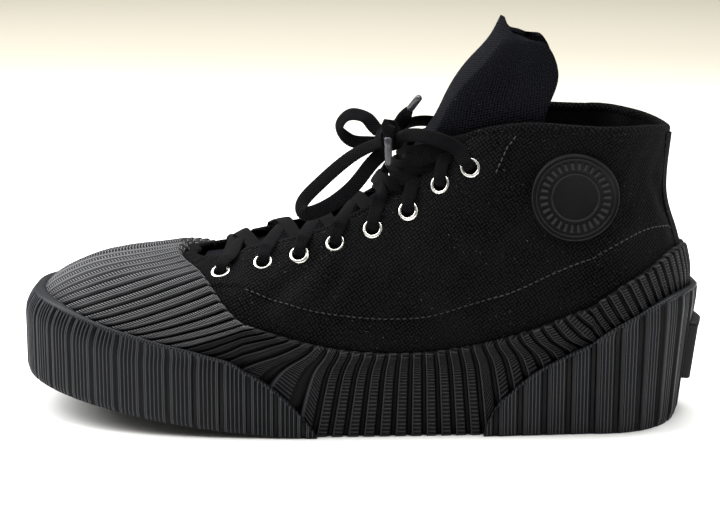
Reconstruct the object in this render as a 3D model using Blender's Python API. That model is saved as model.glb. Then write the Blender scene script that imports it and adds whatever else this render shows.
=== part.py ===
# Mid-top canvas sneaker with a ribbed rubber toe cap, rand and bumpers.
# Toe at -X, outer side of the shoe at -Y, floor at z = 0, metres.
import math

import bmesh
import bpy
import numpy as np
from mathutils import Matrix, Vector

# Driving sizes of the shoe
SHOE_LENGTH = 0.305
BALL_HALF_OUTER = 0.054
BALL_HALF_INNER = 0.052
COLLAR_HEIGHT = 0.1315
FOOTBED_HEIGHT = 0.036
TOE_SPRING = 0.0175
TOE_SWING = 0.007
HEEL_RAKE = 0.0095
TONGUE_HEIGHT = 0.177

# Walls, layers and clearances
CANVAS = 0.0022
INSOLE_THICKNESS = 0.003
TONGUE_THICKNESS = 0.0038
RAND_THICKNESS = 0.0019
RIB_PITCH = 0.0052
RIB_RISE = 0.0015
RIB_TOP_SHARE = 0.58
BUMPER_THICKNESS = 0.0019
BUMPER_LIP = 0.0013
BUMPER_FIT = 0.0006
TOE_BUMPER_HEIGHT = 0.053
HEEL_BUMPER_HEIGHT = 0.061
BUMPER_OVERLAP = 0.0062
TOE_CROWN = 0.0058
SIDE_CROWN = 0.0008
CROWN_DROP = 0.011
TOE_GROUP = 0.0122
HEEL_GROUP = 0.0103
GROUP_GROOVE = 0.0034
GROOVE_DEPTH = 0.0011
TREAD_DEPTH = 0.002
TREAD_WIDTH = 0.003
TREAD_PITCH = 0.016
LAYER_GAP = 0.0007
HIDDEN_GAP = 0.003
GAP = 0.0003

# Small parts
EYELET_RADIUS = 0.00465
EYELET_HOLE = 0.0023
EYELET_BARREL = 0.0029
EYELET_RISE = 0.0009
EYELET_LIFT = 0.00045
EYELET_SIDES = 8
LACE_WIDTH = 0.007
LACE_THICKNESS = 0.0013
LACE_CORD = 0.0036
BADGE_RADIUS = 0.0207
BADGE_THICKNESS = 0.0013
BADGE_RIM = 0.0022
TAB_WIDTH = 0.024
TAB_BOTTOM = 0.016
TAB_HEIGHT = 0.0265
TAB_THICKNESS = 0.0038

# Stations along the shoe that follow from its length
TOE_X = -0.5 * SHOE_LENGTH
HEEL_X = 0.5 * SHOE_LENGTH - HEEL_RAKE - 0.001
TOE_FAN_X = -0.164 * SHOE_LENGTH
HEEL_FAN_X = 0.328 * SHOE_LENGTH
SPRING_START_X = -0.072 * SHOE_LENGTH
TOE_BEND_X = -0.066 * SHOE_LENGTH
RUBBER = LAYER_GAP + RAND_THICKNESS + RIB_RISE
SIDE_BUILD = RUBBER + BUMPER_FIT + BUMPER_THICKNESS

# A column runs 0 to 1 around the toe, 1 to 2 along the side, 2 to 3 around the heel.
# Half widths of the sole along the side, shares of the half ball widths
SIDE_TABLE = {
    "column": (1.0, 1.25, 1.5, 1.75, 2.0),
    "outer": (1.0, 0.991, 0.944, 0.889, 0.815),
    "inner": (1.0, 0.942, 0.865, 0.837, 0.808),
}

# Sections of the upper at six levels from footbed to rim: r1 to r6 are shares of the
# sole's half width, h2 to h5 shares of the height between footbed and rim
SECTION_NAMES = ("column", "foot", "rim", "r1", "r2", "r3", "r4", "r5", "r6", "h2", "h3", "h4", "h5")
SECTION_ROWS = (
    (0.000, 0.917, 0.545, 0.932, 0.917, 0.859, 0.683, 0.429, 0.215, 0.260, 0.543, 0.780, 0.910),
    (0.500, 0.861, 0.544, 0.901, 0.899, 0.838, 0.676, 0.472, 0.310, 0.260, 0.530, 0.765, 0.889),
    (1.000, 0.778, 0.578, 0.852, 0.880, 0.833, 0.704, 0.500, 0.352, 0.260, 0.479, 0.688, 0.885),
    (1.250, 0.750, 0.658, 0.841, 0.869, 0.822, 0.701, 0.505, 0.364, 0.202, 0.403, 0.630, 0.891),
    (1.500, 0.778, 0.829, 0.843, 0.873, 0.833, 0.725, 0.520, 0.373, 0.148, 0.321, 0.543, 0.864),
    (1.625, 0.819, 0.954, 0.847, 0.877, 0.847, 0.746, 0.544, 0.413, 0.130, 0.318, 0.557, 0.880),
    (1.750, 0.861, 1.000, 0.844, 0.875, 0.865, 0.781, 0.656, 0.562, 0.129, 0.299, 0.517, 0.786),
    (2.000, 0.972, 1.000, 0.841, 0.898, 0.898, 0.807, 0.739, 0.750, 0.124, 0.314, 0.545, 0.775),
    (2.500, 1.000, 0.992, 0.801, 0.879, 0.890, 0.790, 0.701, 0.712, 0.143, 0.312, 0.550, 0.762),
    (3.000, 1.000, 0.970, 0.881, 0.976, 1.024, 0.952, 0.810, 0.845, 0.142, 0.301, 0.464, 0.699),
)

# Upper edge of the ribbed rubber, as a level of the section at each column
RAND_EDGE = {
    "column": (0.0, 0.25, 0.5, 0.75, 1.0, 1.25, 1.5, 1.75, 2.0, 2.25, 2.5, 2.75, 3.0),
    "level": (5.75, 5.6, 5.1, 4.2, 2.8, 2.0, 1.7, 1.93, 2.56, 3.02, 3.35, 3.63, 3.8),
}

# Upper edges of the two bumpers, as shares of their heights
TOE_BUMPER_EDGE = {
    "column": (0.0, 0.2, 0.4, 0.6, 0.8, 1.0, 1.08, 1.165, 1.215),
    "height": (1.04, 1.01, 0.883, 0.783, 0.698, 0.566, 0.425, 0.192, 0.012),
}
HEEL_BUMPER_EDGE = {
    "column": (1.69, 1.702, 1.724, 1.766, 1.823, 1.909, 2.05, 2.3, 2.5, 2.75, 3.0),
    "height": (0.01, 0.09, 0.2, 0.308, 0.431, 0.557, 0.715, 0.875, 0.955, 0.975, 0.95),
}

# Where each rib starts below, as a column, for the column where it ends above
RIB_TURN = {
    "above": (0.0, 0.25, 0.5, 0.75, 0.9, 1.0, 1.1, 1.25, 1.5, 1.75, 2.0, 2.3, 2.6, 3.0),
    "below": (0.0, 0.12, 0.19, 0.31, 0.44, 0.55, 0.76, 1.17, 1.5, 1.81, 2.13, 2.42, 2.68, 3.0),
}

EYELET_COLUMNS = (0.741, 1.05, 1.156, 1.261, 1.369, 1.471, 1.563, 1.649)
EYELET_LEVEL = 5.0
BADGE_PLACE = (0.302 * SHOE_LENGTH, 0.784 * COLLAR_HEIGHT)

LEVELS = np.arange(7.0)


def smooth_table(xs, ys, x):
    """Smooth curve through the rows of a table."""
    xs = np.asarray(xs, float)
    ys = np.asarray(ys, float)
    x = np.clip(np.asarray(x, float), xs[0], xs[-1])
    i = np.clip(np.searchsorted(xs, x, side="right") - 1, 0, len(xs) - 2)
    slope = np.gradient(ys, xs, axis=0)
    span = xs[i + 1] - xs[i]
    t = (x - xs[i]) / span
    if ys.ndim == 2:
        span = np.asarray(span)[..., None]
        t = np.asarray(t)[..., None]
    rise = (1 + 2 * t) * (1 - t) ** 2 * ys[i] + t * t * (3 - 2 * t) * ys[i + 1]
    lean = t * (1 - t) ** 2 * span * slope[i] + t * t * (t - 1) * span * slope[i + 1]
    return rise + lean


def rounded_corner(along, across, power, angle):
    """Radius of a rounded corner between two half axes."""
    share = (abs(math.cos(angle)) / along) ** power + (abs(math.sin(angle)) / across) ** power
    return share ** (-1.0 / power)


def sole_radius(column, side):
    """Distance of the sole's outline from the shoe's spine."""
    name, ball = ("outer", BALL_HALF_OUTER) if side < 0 else ("inner", BALL_HALF_INNER)
    if column < 1.0:
        return rounded_corner(TOE_FAN_X - TOE_X, ball, 2.5, column * math.pi / 2)
    if column > 2.0:
        across = ball * SIDE_TABLE[name][-1]
        return rounded_corner(across, HEEL_X - HEEL_FAN_X, 2.3, (column - 2.0) * math.pi / 2)
    return ball * float(smooth_table(SIDE_TABLE["column"], SIDE_TABLE[name], column))


def swing(x):
    """Sideways bend of the toe."""
    return TOE_SWING * max(0.0, (TOE_BEND_X - x) / (TOE_BEND_X - TOE_X)) ** 2


def ground(x):
    """Height of the sole's underside over the floor."""
    return TOE_SPRING * max(0.0, (SPRING_START_X - x) / (SPRING_START_X - TOE_X)) ** 1.5


def place(column, side, radius, z):
    """Point of the shoe from its column, side, distance from the spine and height."""
    toe_turn = min(column, 1.0) * math.pi / 2
    heel_turn = max(column - 2.0, 0.0) * math.pi / 2
    x = TOE_FAN_X + (HEEL_FAN_X - TOE_FAN_X) * min(max(column - 1.0, 0.0), 1.0)
    if column < 1.0:
        x -= radius * math.cos(toe_turn)
    if column > 2.0:
        x += radius * math.sin(heel_turn)
    y = side * radius * math.sin(toe_turn) * math.cos(heel_turn)
    return Vector((x, y + swing(x), z))


def section(column, side):
    """Radius and height of the upper's outer face at the floor and the six levels."""
    rows = np.array(SECTION_ROWS)
    row = dict(zip(SECTION_NAMES[1:], smooth_table(rows[:, 0], rows[:, 1:], column)))
    foot = row["foot"] * FOOTBED_HEIGHT
    rim = row["rim"] * COLLAR_HEIGHT
    outer = sole_radius(column, -1)
    narrowing = sole_radius(column, side) / outer - 1.0
    fade = (1.0, 1.0, 0.9, 0.6, 0.3, 0.0)
    radii = [sole_radius(column, side) - SIDE_BUILD]
    for level in range(6):
        radii.append(row["r%d" % (level + 1)] * outer * (1.0 + narrowing * fade[level]))
    floor = ground(place(column, side, radii[0], 0.0).x)
    heights = [floor, foot]
    for level in range(2, 6):
        heights.append(foot + (rim - foot) * row["h%d" % level])
    heights.append(rim)
    return np.stack([radii, heights], axis=1)


def profile(column, side, levels, offset=0.0):
    """Points (radius, height) of one section, pushed out along its normal."""
    points = section(column, side)
    levels = np.asarray(levels, float)
    step = 0.001
    here = smooth_table(LEVELS, points, levels)
    ahead = smooth_table(LEVELS, points, np.clip(levels + step, 0, 6))
    behind = smooth_table(LEVELS, points, np.clip(levels - step, 0, 6))
    along = ahead - behind
    normal = np.stack([along[..., 1], -along[..., 0]], axis=-1)
    normal /= np.linalg.norm(normal, axis=-1, keepdims=True)
    return here + normal * offset


def skin(column, side, level, offset=0.0):
    """Point on the upper's outer face, or off it by the offset."""
    radius, z = profile(column, side, level, offset)
    return place(column, side, float(radius), float(z))


def level_at_height(column, side, z, offset=0.0):
    """Level where the section, or its offset line, has a height."""
    levels = np.linspace(0.0, 6.0, 121)
    return float(np.interp(z, profile(column, side, levels, offset)[:, 1], levels))


def radius_at_height(column, side, z, offset):
    """Radius of the offset section at a height."""
    points = profile(column, side, np.linspace(0.0, 6.0, 121), offset)
    return float(np.interp(z, points[:, 1], points[:, 0]))


def rand_level(column):
    """Level where the ribbed rubber ends above."""
    return float(smooth_table(RAND_EDGE["column"], RAND_EDGE["level"], column))


def bumper_height(column):
    """Height of the bumpers' upper edge, or nothing between them."""
    if column <= TOE_BUMPER_EDGE["column"][-1]:
        return TOE_BUMPER_HEIGHT * float(smooth_table(*TOE_BUMPER_EDGE.values(), column))
    if column >= HEEL_BUMPER_EDGE["column"][0]:
        return HEEL_BUMPER_HEIGHT * float(smooth_table(*HEEL_BUMPER_EDGE.values(), column))
    return 0.0


def wall_radius(column, side, z, top):
    """Radius of the bumpers' outer face: raked at the heel and rounded in to its edge."""
    rake = HEEL_RAKE * max(0.0, column - 2.0) ** 1.5 * z / HEEL_BUMPER_HEIGHT
    toe_share = max(0.0, 1.0 - column) ** 1.2
    crown = SIDE_CROWN + (TOE_CROWN - SIDE_CROWN) * toe_share
    drop = min(CROWN_DROP, 0.6 * top)
    near_top = max(0.0, (z - top + drop) / drop)
    plain = sole_radius(column, side) + rake - crown * near_top ** 2
    lip = radius_at_height(column, side, z, RUBBER + BUMPER_FIT) + BUMPER_LIP
    return max(plain, lip)


def new_material(name, color, roughness, metallic=0.0):
    """Principled material with one colour."""
    material = bpy.data.materials.new(name)
    material.use_nodes = True
    shader = material.node_tree.nodes["Principled BSDF"]
    shader.inputs["Base Color"].default_value = (*color, 1.0)
    shader.inputs["Roughness"].default_value = roughness
    shader.inputs["Metallic"].default_value = metallic
    material.diffuse_color = (*color, 1.0)
    return material


def build_mesh(name, points, faces, material, flat=True):
    """Closed mesh object from points and faces, faced outward."""
    form = bmesh.new()
    corners = [form.verts.new(point) for point in points]
    for face in faces:
        form.faces.new([corners[i] for i in face])
    bmesh.ops.remove_doubles(form, verts=form.verts, dist=0.000002)
    bmesh.ops.recalc_face_normals(form, faces=form.faces)
    mesh = bpy.data.meshes.new(name)
    form.to_mesh(mesh)
    form.free()
    mesh.materials.append(material)
    if not flat:
        mesh.polygons.foreach_set("use_smooth", [True] * len(mesh.polygons))
    piece = bpy.data.objects.new(name, mesh)
    bpy.context.collection.objects.link(piece)
    return piece


def loft_faces(columns, rows, closed):
    """Quads between columns whose rows close on themselves, with end faces if open."""
    faces = []
    for i in range(columns if closed else columns - 1):
        j = (i + 1) % columns
        for k in range(rows):
            m = (k + 1) % rows
            faces.append((i * rows + k, j * rows + k, j * rows + m, i * rows + m))
    if not closed:
        faces.append(tuple(range(rows)))
        faces.append(tuple((columns - 1) * rows + k for k in range(rows)))
    return faces


def around(columns):
    """Columns of both sides in order around the shoe, each as (column, side)."""
    near = [(c, -1) for c in columns]
    far = [(c, 1) for c in reversed(columns) if 0.0 < c < 3.0]
    return near + far


def make_upper(material):
    """Hollow canvas upper: one wall from the footbed to the rim."""
    toe = [0.0, 0.08, 0.16, 0.23, 0.3, 0.38, 0.48, 0.6, 0.7, 0.8, 0.9]
    side = list(np.linspace(1.0, 2.0, 13))
    heel = list(np.linspace(2.12, 3.0, 10))
    levels = (1.0, 1.6, 2.2, 2.7, 3.2, 4.0, 5.0, 6.0)
    points = []
    places = around(toe + side + heel)
    for column, half in places:
        for level in levels:
            points.append(skin(column, half, level))
        for level in reversed(levels):
            points.append(skin(column, half, level, -CANVAS))
        points[-1].z = points[-2 * len(levels)].z
    upper = build_mesh("upper", points, loft_faces(len(places), 2 * len(levels), True), material)
    cutters = []
    for half in (-1, 1):
        for column in EYELET_COLUMNS:
            cutters.append(eyelet_frame(column, half))
    cut_holes(upper, cutters, EYELET_BARREL + GAP)
    return upper


def eyelet_frame(column, side):
    """Matrix at an eyelet's centre on the canvas, its Z axis pointing out."""
    centre = skin(column, side, EYELET_LEVEL)
    along = skin(column + 0.01, side, EYELET_LEVEL) - skin(column - 0.01, side, EYELET_LEVEL)
    up = skin(column, side, EYELET_LEVEL + 0.2) - skin(column, side, EYELET_LEVEL - 0.2)
    normal = along.cross(up).normalized() * (-side)
    if normal.z < 0:
        normal.negate()
    x_axis = along.normalized()
    y_axis = normal.cross(x_axis)
    frame = Matrix((x_axis, y_axis, normal)).transposed().to_4x4()
    frame.translation = centre
    return frame


def cut_holes(piece, frames, radius):
    """Cut a round hole along each frame's Z axis."""
    form = bmesh.new()
    for frame in frames:
        bmesh.ops.create_cone(form, cap_ends=True, segments=EYELET_SIDES, radius1=radius, radius2=radius,
                              depth=0.012, matrix=frame)
    mesh = bpy.data.meshes.new("hole_cutter")
    form.to_mesh(mesh)
    form.free()
    cutter = bpy.data.objects.new("hole_cutter", mesh)
    bpy.context.collection.objects.link(cutter)
    cutter.hide_render = True
    cutter.display_type = "WIRE"
    holes = piece.modifiers.new("lace_holes", "BOOLEAN")
    holes.operation = "DIFFERENCE"
    holes.solver = "EXACT"
    holes.object = cutter


def make_outsole(material):
    """Rubber sole core from the floor to the footbed, with cross grooves beneath."""
    columns = [0.0, 0.12, 0.25, 0.38, 0.5, 0.75, 1.0, 1.5, 2.0, 2.4, 2.7, 2.85, 3.0]
    span = (HEEL_FAN_X - TOE_FAN_X)
    half_width = 0.5 * TREAD_WIDTH / span
    slant = 0.0003 / span
    grooves = []
    for centre in np.arange(0.62, 2.35, TREAD_PITCH / span):
        grooves.append(centre)
    stations = [(c, 0.0) for c in columns if all(abs(c - g) > 2 * half_width for g in grooves)]
    for centre in grooves:
        stations.append((centre - half_width - slant, 0.0))
        stations.append((centre - half_width, TREAD_DEPTH))
        stations.append((centre + half_width, TREAD_DEPTH))
        stations.append((centre + half_width + slant, 0.0))
    stations.sort()
    points = []
    for column, lift in stations:
        ring = []
        for half in (-1, 1):
            lower = skin(column, half, 0.0)
            lower.z += lift
            top = skin(column, half, 1.0)
            top.z -= GAP
            ring.append((lower, top))
        points.extend([ring[0][0], ring[0][1], ring[1][1], ring[1][0]])
    faces = loft_faces(len(stations), 4, False)
    return build_mesh("outsole", points, faces[:-2], material)


def make_insole(material):
    """Footbed sheet inside the upper, dished across."""
    inset = CANVAS + 3 * GAP
    columns = [0.02, 0.12, 0.25, 0.4, 0.6, 0.8] + list(np.linspace(1.0, 2.0, 9))
    columns += [2.2, 2.4, 2.6, 2.8, 2.94]
    points = []
    for column in columns:
        row = []
        for half in (-1, 1):
            radius, z = profile(column, half, 1.0)
            inner = place(column, half, radius - inset, z)
            row.append(inner)
        near, far = row
        middle = (near + far) / 2
        dish = Vector((0.0, 0.0, 0.0012))
        thick = Vector((0.0, 0.0, INSOLE_THICKNESS))
        points.extend([near, near + thick, middle + thick - dish, far + thick, far, middle])
    faces = loft_faces(len(columns), 6, False)
    return build_mesh("insole", points, faces, material)


# Tongue above the laces: centre, crease and rear edge of its folded wing, as shares of
# the tongue's height (x, z) and of the half ball width (y)
TONGUE_NAMES = ("centre_x", "centre_z", "crease_x", "crease_z", "crease_y",
                "wing_x", "wing_z", "wing_y", "rear_x", "rear_z", "rear_y")
TONGUE_ROWS = (
    (0.107, 0.641, 0.121, 0.634, 0.278, 0.169, 0.590, 0.343, 0.209, 0.554, 0.463),
    (0.136, 0.686, 0.150, 0.678, 0.259, 0.232, 0.655, 0.315, 0.311, 0.616, 0.407),
    (0.169, 0.737, 0.183, 0.729, 0.268, 0.294, 0.712, 0.352, 0.413, 0.689, 0.445),
    (0.209, 0.808, 0.229, 0.802, 0.278, 0.339, 0.797, 0.370, 0.452, 0.791, 0.455),
    (0.263, 0.887, 0.285, 0.878, 0.278, 0.379, 0.873, 0.343, 0.477, 0.870, 0.407),
    (0.308, 0.949, 0.331, 0.935, 0.250, 0.390, 0.937, 0.296, 0.452, 0.938, 0.343),
    (0.345, 1.000, 0.367, 0.977, 0.194, 0.390, 0.980, 0.231, 0.412, 0.983, 0.269),
)
TONGUE_COLUMNS = (0.35, 0.5, 0.65, 0.8, 1.0, 1.15, 1.3, 1.42)
TONGUE_CROWN = (0.0006, 0.0008, 0.001, 0.0012, 0.0014, 0.0018, 0.0034, 0.0070)
TONGUE_WIDTH = (1.0, 1.0, 1.0, 1.0, 1.0, 1.0, 0.97, 0.8)


def tongue_rows():
    """Rows of seven points across the tongue's outer face, from toe end to tip."""
    rows = []
    under = CANVAS + 4 * GAP
    for column, crown, share in zip(TONGUE_COLUMNS, TONGUE_CROWN, TONGUE_WIDTH):
        sides = []
        for half in (-1, 1):
            levels = (4.5, 5.2, 5.9)
            side = [skin(column, half, level, -under) for level in levels]
            for point in side:
                point.y *= share
            sides.append(side)
        middle = (sides[0][2] + sides[1][2]) / 2
        middle.z += crown
        rows.append(sides[0] + [middle] + sides[1][::-1])
    for values in TONGUE_ROWS:
        row = dict(zip(TONGUE_NAMES, values))
        sides = []
        for half in (-1, 1):
            side = []
            for name in ("rear", "wing", "crease"):
                side.append(Vector((row[name + "_x"] * TONGUE_HEIGHT,
                                    half * row[name + "_y"] * BALL_HALF_OUTER,
                                    row[name + "_z"] * TONGUE_HEIGHT)))
            sides.append(side)
        centre = Vector((row["centre_x"] * TONGUE_HEIGHT, 0.0, row["centre_z"] * TONGUE_HEIGHT))
        rows.append(sides[0] + [centre] + sides[1][::-1])
    return rows


def make_sheet(name, rows, material, thickness):
    """Sheet through rows of points, thickened away from its outer face."""
    count = len(rows[0])
    points = [point for row in rows for point in row]
    form = bmesh.new()
    corners = [form.verts.new(point) for point in points]
    for i in range(len(rows) - 1):
        for k in range(count - 1):
            a = i * count + k
            form.faces.new([corners[a], corners[a + 1], corners[a + count + 1], corners[a + count]])
    mesh = bpy.data.meshes.new(name)
    form.to_mesh(mesh)
    form.free()
    mesh.materials.append(material)
    mesh.polygons.foreach_set("use_smooth", [True] * len(mesh.polygons))
    piece = bpy.data.objects.new(name, mesh)
    bpy.context.collection.objects.link(piece)
    wall = piece.modifiers.new("thickness", "SOLIDIFY")
    wall.thickness = thickness
    wall.offset = 1.0
    wall.use_even_offset = True
    return piece


def edge_lengths(side):
    """Columns and running length of the rubber's upper edge on one side."""
    columns = np.linspace(0.0, 3.0, 181)
    points = [skin(c, side, rand_level(c), RUBBER) for c in columns]
    steps = [(b - a).length for a, b in zip(points, points[1:])]
    return columns, np.concatenate([[0.0], np.cumsum(steps)])


def make_rubber_shell(material):
    """Toe cap and rand in one: ribs that run square to the upper edge."""
    tables = {side: edge_lengths(side) for side in (-1, 1)}
    count = round(tables[-1][1][-1] / RIB_PITCH)

    def column_at(turn):
        """Column and side of a place counted in ribs around the shoe."""
        turn = turn % (2 * count)
        side = -1 if turn <= count else 1
        share = turn / count if side < 0 else (2 * count - turn) / count
        columns, lengths = tables[side]
        return float(np.interp(share * lengths[-1], lengths, columns)), side

    def rib_line(turn, shares, offset):
        """Points from the lower edge to the upper edge of the rubber."""
        above, side = column_at(turn)
        below = float(np.interp(above, RIB_TURN["above"], RIB_TURN["below"]))
        hidden = bumper_height(below) - BUMPER_OVERLAP + HIDDEN_GAP
        foot = place(below, side, sole_radius(below, side), 0.0)
        bottom = max(ground(foot.x), hidden)
        start = level_at_height(below, side, bottom, offset)
        stop = rand_level(above)
        line = []
        for share in shares:
            column = below + (above - below) * share
            line.append(skin(column, side, start + (stop - start) * share, offset))
        return line

    face_shares = (0.0, 0.26, 0.62, 1.0)
    back_shares = (0.0, 0.18, 0.42, 0.7, 1.0)
    rows = len(face_shares)
    back_rows = len(back_shares)
    outer = []
    inner = []
    for rib in range(2 * count):
        half = 0.5 * RIB_TOP_SHARE
        outer.append(rib_line(rib - half, face_shares, RUBBER))
        outer.append(rib_line(rib + half, face_shares, RUBBER))
        outer.append(rib_line(rib + 0.5, face_shares, RUBBER - RIB_RISE))
        inner.append(rib_line(rib, back_shares, LAYER_GAP))
    points = [point for line in outer + inner for point in line]
    total = len(outer)
    faces = []
    for i in range(total):
        j = (i + 1) % total
        for k in range(rows - 1):
            faces.append((i * rows + k, j * rows + k, j * rows + k + 1, i * rows + k + 1))
    first = total * rows
    for i in range(2 * count):
        j = (i + 1) % (2 * count)
        for k in range(back_rows - 1):
            a = first + i * back_rows + k
            b = first + j * back_rows + k
            faces.append((a, a + 1, b + 1, b))
        for k, back in ((0, 0), (rows - 1, back_rows - 1)):
            left = 3 * i * rows + k
            right = (3 * i + 1) * rows + k
            groove = (3 * i + 2) * rows + k
            following = (3 * j) * rows + k
            here = first + i * back_rows + back
            after = first + j * back_rows + back
            faces.append((here, left, right))
            faces.append((here, right, groove))
            faces.append((here, groove, after))
            faces.append((after, groove, following))
    return build_mesh("rubber_shell", points, faces, material)


def wall_lengths(side, start, stop):
    """Columns and running length of the sole's outline between two columns."""
    columns = np.linspace(start, stop, 241)
    points = [place(c, side, sole_radius(c, side), 0.0) for c in columns]
    steps = [(b - a).length for a, b in zip(points, points[1:])]
    return columns, np.concatenate([[0.0], np.cumsum(steps)])


def bumper_section(column, side, recess):
    """Closed section of a bumper: outer face, top ledge and the face over the rubber."""
    top = bumper_height(column)
    floor = ground(place(column, side, sole_radius(column, side), 0.0).x)
    top = max(top, floor + 0.0012)
    rubber_face = RUBBER + BUMPER_FIT
    hidden = top - BUMPER_OVERLAP
    ring = []
    for share in (0.0, 0.8, 1.0):
        z = floor + (top - floor) * share
        ring.append(place(column, side, wall_radius(column, side, z, top) - recess, z))
    ledge = radius_at_height(column, side, top, rubber_face)
    ring.append(place(column, side, ledge, top))
    if hidden > floor + BUMPER_OVERLAP:
        step = radius_at_height(column, side, hidden, rubber_face)
        core = max(radius_at_height(column, side, floor + (hidden - floor) * share, LAYER_GAP)
                   for share in (0.0, 0.25, 0.5, 0.75, 1.0))
        ring.append(place(column, side, step, hidden))
        ring.append(place(column, side, core, hidden))
        ring.append(place(column, side, core, floor))
    else:
        step = place(column, side, radius_at_height(column, side, floor, rubber_face), floor)
        ring.extend([step.copy(), step.copy(), step.copy()])
    return ring


def make_bumper(name, start, stop, pitch, material):
    """Bumper around the toe or heel, its face in groups parted by deep grooves."""
    sections = []
    for side in (-1, 1):
        columns, lengths = wall_lengths(side, start, stop)
        middle = start if start == 0.0 else stop
        count = round(lengths[-1] / pitch)
        groove = 0.5 * GROUP_GROOVE / pitch
        turns = []
        for group in range(count):
            for shift, deep in ((-groove, 0), (0.0, 1), (groove, 0)):
                turns.append((group + 0.5 + shift, deep))
        turns = [(0.0, 0)] * (middle != start) + turns + [(float(count), 0)] * (middle == start)
        line = []
        for turn, deep in turns:
            column = float(np.interp(turn / count * lengths[-1], lengths, columns))
            line.append(bumper_section(column, side, GROOVE_DEPTH * deep))
        sections.append(line if (middle == start) == (side > 0) else line[::-1])
    joined = sections[0] + sections[1]
    rows = len(joined[0])
    points = [point for ring in joined for point in ring]
    return build_mesh(name, points, loft_faces(len(joined), rows, False), material)


def make_heel_tab(material):
    """Bare rectangular patch standing on the middle of the heel bumper."""
    half_angle = TAB_WIDTH / 2 / (HEEL_X - HEEL_FAN_X) / (math.pi / 2)
    points = []
    places = [(3.0 - half_angle * s, -1) for s in (1.0, 0.67, 0.33, 0.0)]
    places += [(3.0 - half_angle * s, 1) for s in (0.33, 0.67, 1.0)]
    levels = (TAB_BOTTOM, TAB_BOTTOM + TAB_HEIGHT)
    for column, side in places:
        top = bumper_height(column)
        for z, out in ((levels[0], TAB_THICKNESS), (levels[1], TAB_THICKNESS),
                       (levels[1], 2 * GAP), (levels[0], 2 * GAP)):
            points.append(place(column, side, wall_radius(column, side, z, top) + out, z))
    return build_mesh("heel_tab", points, loft_faces(len(places), 4, False), material)


def make_eyelet(number, side, frame, material):
    """Metal ring with a barrel through the canvas."""
    rings = (
        (EYELET_HOLE, EYELET_RISE),
        (EYELET_RADIUS, EYELET_LIFT),
        (EYELET_BARREL, EYELET_LIFT),
        (EYELET_BARREL, -CANVAS - GAP),
        (EYELET_HOLE, -CANVAS - GAP),
    )
    points = []
    for i in range(EYELET_SIDES):
        angle = 2 * math.pi * i / EYELET_SIDES
        for radius, height in rings:
            points.append(frame @ Vector((radius * math.cos(angle), radius * math.sin(angle), height)))
    name = "eyelet_%s_%d" % ("outer" if side < 0 else "inner", number)
    return build_mesh(name, points, loft_faces(EYELET_SIDES, len(rings), True), material, flat=False)


def make_badge(material):
    """Bare round rubber badge with a raised rim, bent to the ankle."""
    side = -1
    x_middle, z_middle = BADGE_PLACE
    columns = np.linspace(1.6, 2.8, 61)

    def point(radius, angle, offset):
        """Point of the badge over the canvas."""
        z = z_middle + radius * math.sin(angle)
        target = x_middle + radius * math.cos(angle)
        xs = [skin(c, side, level_at_height(c, side, z)).x for c in columns]
        column = float(np.interp(target, xs, columns))
        return skin(column, side, level_at_height(column, side, z), offset)

    segments = 20
    under = 2.5 * GAP
    rings = ((0.45, under), (0.75, under), (1.0, under), (1.0, BADGE_RIM), (0.9, BADGE_RIM),
             (0.88, BADGE_THICKNESS),
             (0.45, BADGE_THICKNESS))
    points = [point(0.0, 0.0, under), point(0.0, 0.0, BADGE_THICKNESS)]
    for i in range(segments):
        for share, offset in rings:
            points.append(point(share * BADGE_RADIUS, 2 * math.pi * i / segments, offset))
    faces = []
    count = len(rings)
    for i in range(segments):
        a = 2 + i * count
        b = 2 + ((i + 1) % segments) * count
        for k in range(count - 1):
            faces.append((a + k, b + k, b + k + 1, a + k + 1))
        faces.append((0, b, a))
        faces.append((1, a + count - 1, b + count - 1))
    return build_mesh("ankle_badge", points, faces, material, flat=False)


# Free ends of the lace, chosen by hand: shares of the shoe's length (x), of the half ball
# width (y) and of the collar height (z)
KNOT_PLACE = (0.041, -0.055, 0.932)
KNOT_SIZE = (0.0062, 0.0078, 0.0056)
LACE_ROUTES = {
    "lace_loop_outer": ((0.0262, -0.176, 0.926), (0.013, -0.21, 0.918), (-0.016, -0.28, 0.885), (-0.052, -0.38, 0.82),
                        (-0.082, -0.45, 0.75), (-0.078, -0.52, 0.715), (-0.045, -0.48, 0.74),
                        (-0.012, -0.40, 0.795), (0.014, -0.27, 0.862),
                        (0.0310, -0.175, 0.897)),
    "lace_loop_inner": ((0.0248, 0.042, 0.950), (0.018, 0.07, 0.963), (0.004, 0.11, 0.995), (-0.020, 0.17, 0.998),
                        (-0.034, 0.21, 0.955), (-0.018, 0.21, 0.908), (0.012, 0.13, 0.905)),
    "lace_end_outer": ((0.044, -0.22, 0.962), (0.041, -0.26, 0.995), (0.039, -0.30, 0.992),
                       (0.0385, -0.315, 0.968)),
    "lace_end_inner": ((0.055, 0.07, 0.975), (0.062, 0.04, 1.0), (0.068, -0.02, 1.025)),
}
AGLET_ROUTES = {
    "aglet_outer": ((0.0385, -0.318, 0.957), (0.0393, -0.325, 0.862)),
    "aglet_inner": ((0.0695, -0.03, 1.032), (0.083, -0.11, 1.078)),
}
AGLET_DIAMETER = 0.0034
# Crossings of the lace: rise over the throat's edges, and places of the high ones in shares
CROSSING_RISE = 0.0042
HIGH_CROSSINGS = {4: (0.021, 0.0, 0.797), 5: (0.044, 0.0, 0.846), 6: (0.058, 0.0, 0.896)}
CORNER_SHIFT = (0.0036, 0.0176, -0.0006)
# Strands from the top eyelets to the knot, for the outer side
TOP_STRAND = ((0.142, -0.395, 0.984), (0.116, -0.375, 0.986), (0.088, -0.335, 0.968),
              (0.068, -0.265, 0.946))


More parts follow.
